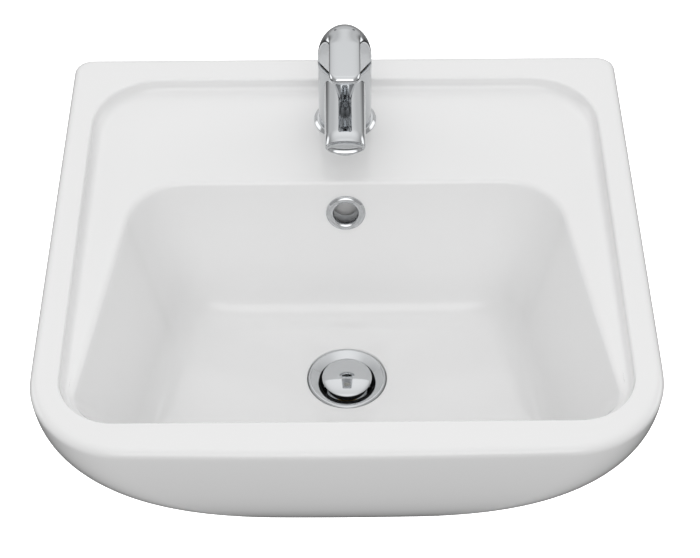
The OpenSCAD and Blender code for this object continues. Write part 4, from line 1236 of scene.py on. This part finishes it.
class WASHBASIN_OT_spring(bpy.types.Operator):
    """Winds the spring under the plug, which gives way when the plug is pushed down"""
    bl_idname = "washbasin.spring"
    bl_label = "Spring"

    def execute(self, context):
        low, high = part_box("plug_spring")
        wire, sides, turns, steps_per_turn = 0.45 * MM, 12, 5, 32
        steps = turns * steps_per_turn
        bm = bmesh.new()
        bmesh.ops.create_circle(bm, cap_ends=True, segments=sides, radius=wire,
                                matrix=Matrix.Translation((high.x - wire, WASTE_Y, high.z - wire))
                                @ Matrix.Rotation(math.radians(90), 4, "X"))
        bmesh.ops.spin(bm, geom=[*bm.verts, *bm.edges, *bm.faces], cent=(0, WASTE_Y, 0), axis=(0, 0, 1),
                       dvec=(0, 0, (low.z - high.z + 2 * wire) / steps), angle=2 * math.pi * turns,
                       steps=steps, use_merge=False, use_duplicate=False)
        bmesh.ops.holes_fill(bm, edges=bm.edges, sides=sides)
        spring = place(solid(bm, "spring"), "spring_steel", "basin", "steel", "plug_spring", angle=60)
        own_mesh(spring)
        return {"FINISHED"}


def hex_nut(name, node_name, bore, slot):
    """A hexagon nut with turned-off corners, in the place of a plain one on the basin."""
    low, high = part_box(node_name)
    centre = Vector(((low.x + high.x) / 2, (low.y + high.y) / 2, low.z))
    across_corners, height = (high.x - low.x) / 2, high.z - low.z
    bm = bmesh.new()
    turn = Matrix.Rotation(math.radians(30), 4, "Z")
    bmesh.ops.create_cone(bm, cap_ends=True, segments=6, radius1=across_corners, radius2=across_corners,
                          depth=height, matrix=Matrix.Translation((0, 0, height / 2)) @ turn)
    nut = solid(bm, name)
    flats = across_corners * math.cos(math.radians(30))
    chamfer = (across_corners - flats) * math.tan(math.radians(30))
    combine(nut, turned("chamfer", [
        (0, 0), (flats, 0), (across_corners, chamfer), (across_corners, height - chamfer), (flats, height),
        (0, height)]), operation="INTERSECT")
    combine(nut, turned("bore", [
        (0, -MM), (bore + 1.6 * MM, -MM), (bore, 0.6 * MM), (bore, height - 0.6 * MM),
        (bore + 1.6 * MM, height + MM), (0, height + MM)]))
    nut.data.transform(Matrix.Translation(centre))
    return place(nut, name, "basin", slot, node_name, angle=20)


class WASHBASIN_OT_nuts(bpy.types.Operator):
    """Builds the nuts under the waste and under the tap"""
    bl_idname = "washbasin.nuts"
    bl_label = "Nuts"

    def execute(self, context):
        hex_nut("waste_nut_chrome", "waste_nut", context.scene.washbasin_waste.thread + 0.05 * MM, "chrome")
        hex_nut("fixing_nut_brass", "fixing_nut", STUD_RADIUS, "brass")
        return {"FINISHED"}


class WASHBASIN_OT_kept_solids(bpy.types.Operator):
    """Gives the solids that stay as they are their finishes"""
    bl_idname = "washbasin.kept_solids"
    bl_label = "Kept solids"

    def execute(self, context):
        slots = {row["node"]: row["material_slot"] for row in frame["record"]["subparts"]}
        for name, kept in frame["nodes"].items():
            kept.data.materials.clear()
            kept.data.materials.append(finish_of(slots[name]))
        return {"FINISHED"}


FLOOR_SIZE, FLOOR_Z = 20, -1.6
# The studio's walls: heights, as the sine of the angle above level, between which they turn from
# dark to pale, and their strengths there
WALL_FROM, WALL_TO = -0.15, 0.3
WALL_LOW, WALL_HIGH = 0.06, 0.44
# Each soft light of the studio: direction towards it, degrees to where it ends and to where it is
# full, and strength. One that stands to the side has a twin on the other side.
SOFT_LIGHTS = (
    ((0, 0.259, 0.966), 50, 10, 0.55),
    ((0, 0.966, 0.259), 65, 20, 0.3),
    ((0, -0.469, 0.883), 40, 8, 0.3),
    ((0, -0.809, 0.588), 28, 14, 1.6),
    ((0.9, 0.35, 0.25), 21, 11, 1.2),
    ((0.629, -0.749, -0.208), 38, 10, 0.2),
    ((0, -0.5, -0.87), 60, 10, 0.55),
)
# The camera that took the photograph: focal length and width in pixels, degrees down from level, of
# roll and to the right, and its place in metres
FOCAL_PIXELS, PHOTO_PIXELS = 1855.94, 700
CAMERA_PITCH, CAMERA_ROLL, CAMERA_YAW = 46.402, -0.317, 0.139
CAMERA_AT = (0.0005, -1.2066, 1.0619)


class WASHBASIN_OT_studio(bpy.types.Operator):
    """Lays the floor and sets the lights and the camera"""
    bl_idname = "washbasin.studio"
    bl_label = "Studio"

    def execute(self, context):
        scene = context.scene
        bm = bmesh.new()
        bmesh.ops.create_grid(bm, x_segments=8, y_segments=8, size=FLOOR_SIZE)
        bmesh.ops.translate(bm, vec=(0, 0, FLOOR_Z), verts=bm.verts)
        floor = solid(bm, "floor")
        floor.data.materials.append(surface("studio_floor", studio_floor))
        floor.visible_diffuse = False
        floor.visible_glossy = False
        world = bpy.data.worlds.new("studio")
        world.use_nodes = True
        tree = world.node_tree
        tree.nodes.clear()
        towards = node(tree, "ShaderNodeTexCoord")
        height = node(tree, "ShaderNodeSeparateXYZ", {"Vector": towards}, output="Z")
        total = node(tree, "ShaderNodeMapRange",
                     {"Value": height, "From Min": WALL_FROM, "From Max": WALL_TO, "To Min": WALL_LOW,
                      "To Max": WALL_HIGH}, interpolation_type="SMOOTHSTEP")
        for (x, y, z), wide, narrow, strength in SOFT_LIGHTS:
            for side in (1, -1) if x else (1,):
                facing = node(tree, "ShaderNodeVectorMath", {0: towards, 1: (side * x, y, z)}, output="Value",
                              operation="DOT_PRODUCT")
                glow = node(tree, "ShaderNodeMapRange",
                            {"Value": facing, "From Min": math.cos(math.radians(wide)),
                             "From Max": math.cos(math.radians(narrow)), "To Max": strength},
                            interpolation_type="SMOOTHSTEP")
                total = node(tree, "ShaderNodeMath", {0: total, 1: glow}, operation="ADD")
        node(tree, "ShaderNodeOutputWorld",
             {"Surface": node(tree, "ShaderNodeBackground", {"Color": linear("#FFFFFF"), "Strength": total})})
        scene.world = world
        scene.view_settings.view_transform = "Standard"
        place_camera(scene)
        return {"FINISHED"}


def place_camera(scene):
    """Puts the camera where it stood for the photograph."""
    pitch, roll, yaw = (math.radians(a) for a in (CAMERA_PITCH, CAMERA_ROLL, CAMERA_YAW))
    forward = Vector((math.sin(yaw) * math.cos(pitch), math.cos(yaw) * math.cos(pitch), -math.sin(pitch)))
    right = Vector((math.cos(yaw), -math.sin(yaw), 0))
    up = right.cross(forward)
    turned_right = right * math.cos(roll) + up * math.sin(roll)
    turned_up = up * math.cos(roll) - right * math.sin(roll)
    data = bpy.data.cameras.new("camera")
    data.sensor_width = 36
    data.lens = FOCAL_PIXELS / PHOTO_PIXELS * data.sensor_width
    camera = bpy.data.objects.new("camera", data)
    turn = Matrix((turned_right, turned_up, -forward)).transposed()
    camera.matrix_world = Matrix.Translation(CAMERA_AT) @ turn.to_4x4()
    scene.collection.objects.link(camera)
    scene.camera = camera


class WASHBASIN_PT_panel(bpy.types.Panel):
    """Lists the steps and the sizes that they use"""
    bl_idname = "WASHBASIN_PT_panel"
    bl_label = "Washbasin"
    bl_space_type = "VIEW_3D"
    bl_region_type = "UI"
    bl_category = "Washbasin"

    def draw(self, context):
        layout = self.layout
        for step in STEPS:
            layout.operator(step.bl_idname)
        for group, label in GROUPS:
            layout.label(text=label)
            values = getattr(context.scene, group)
            for name in values.bl_rna.properties.keys():
                if name not in {"rna_type", "name"}:
                    layout.prop(values, name)


GROUPS = (("washbasin_basin", "Basin"), ("washbasin_tap", "Tap"), ("washbasin_waste", "Waste"),
          ("washbasin_finishes", "Finishes"))
GROUP_CLASSES = (WashbasinBasinSizes, WashbasinTapSizes, WashbasinWasteSizes, WashbasinFinishes)
STEPS = (
    WASHBASIN_OT_kept_solids, WASHBASIN_OT_china, WASHBASIN_OT_tap_body, WASHBASIN_OT_base_ring,
    WASHBASIN_OT_aerator, WASHBASIN_OT_handle, WASHBASIN_OT_marks, WASHBASIN_OT_overflow_ring,
    WASHBASIN_OT_waste, WASHBASIN_OT_plug, WASHBASIN_OT_plug_seal, WASHBASIN_OT_spring,
    WASHBASIN_OT_nuts, WASHBASIN_OT_studio,
)


def register():
    """Adds the classes, and the groups of sizes and colours to every scene."""
    for kind in (*GROUP_CLASSES, *STEPS, WASHBASIN_PT_panel):
        bpy.utils.register_class(kind)
    for (group, label), kind in zip(GROUPS, GROUP_CLASSES):
        setattr(bpy.types.Scene, group, PointerProperty(type=kind, name=label))


def unregister():
    """Takes away what register added."""
    for group, label in GROUPS:
        delattr(bpy.types.Scene, group)
    for kind in (WASHBASIN_PT_panel, *reversed(STEPS), *reversed(GROUP_CLASSES)):
        bpy.utils.unregister_class(kind)


def main():
    """Builds everything in order."""
    register()
    for step in STEPS:
        group, call = step.bl_idname.split(".")
        getattr(getattr(bpy.ops, group), call)()


if __name__ == "__main__":
    main()
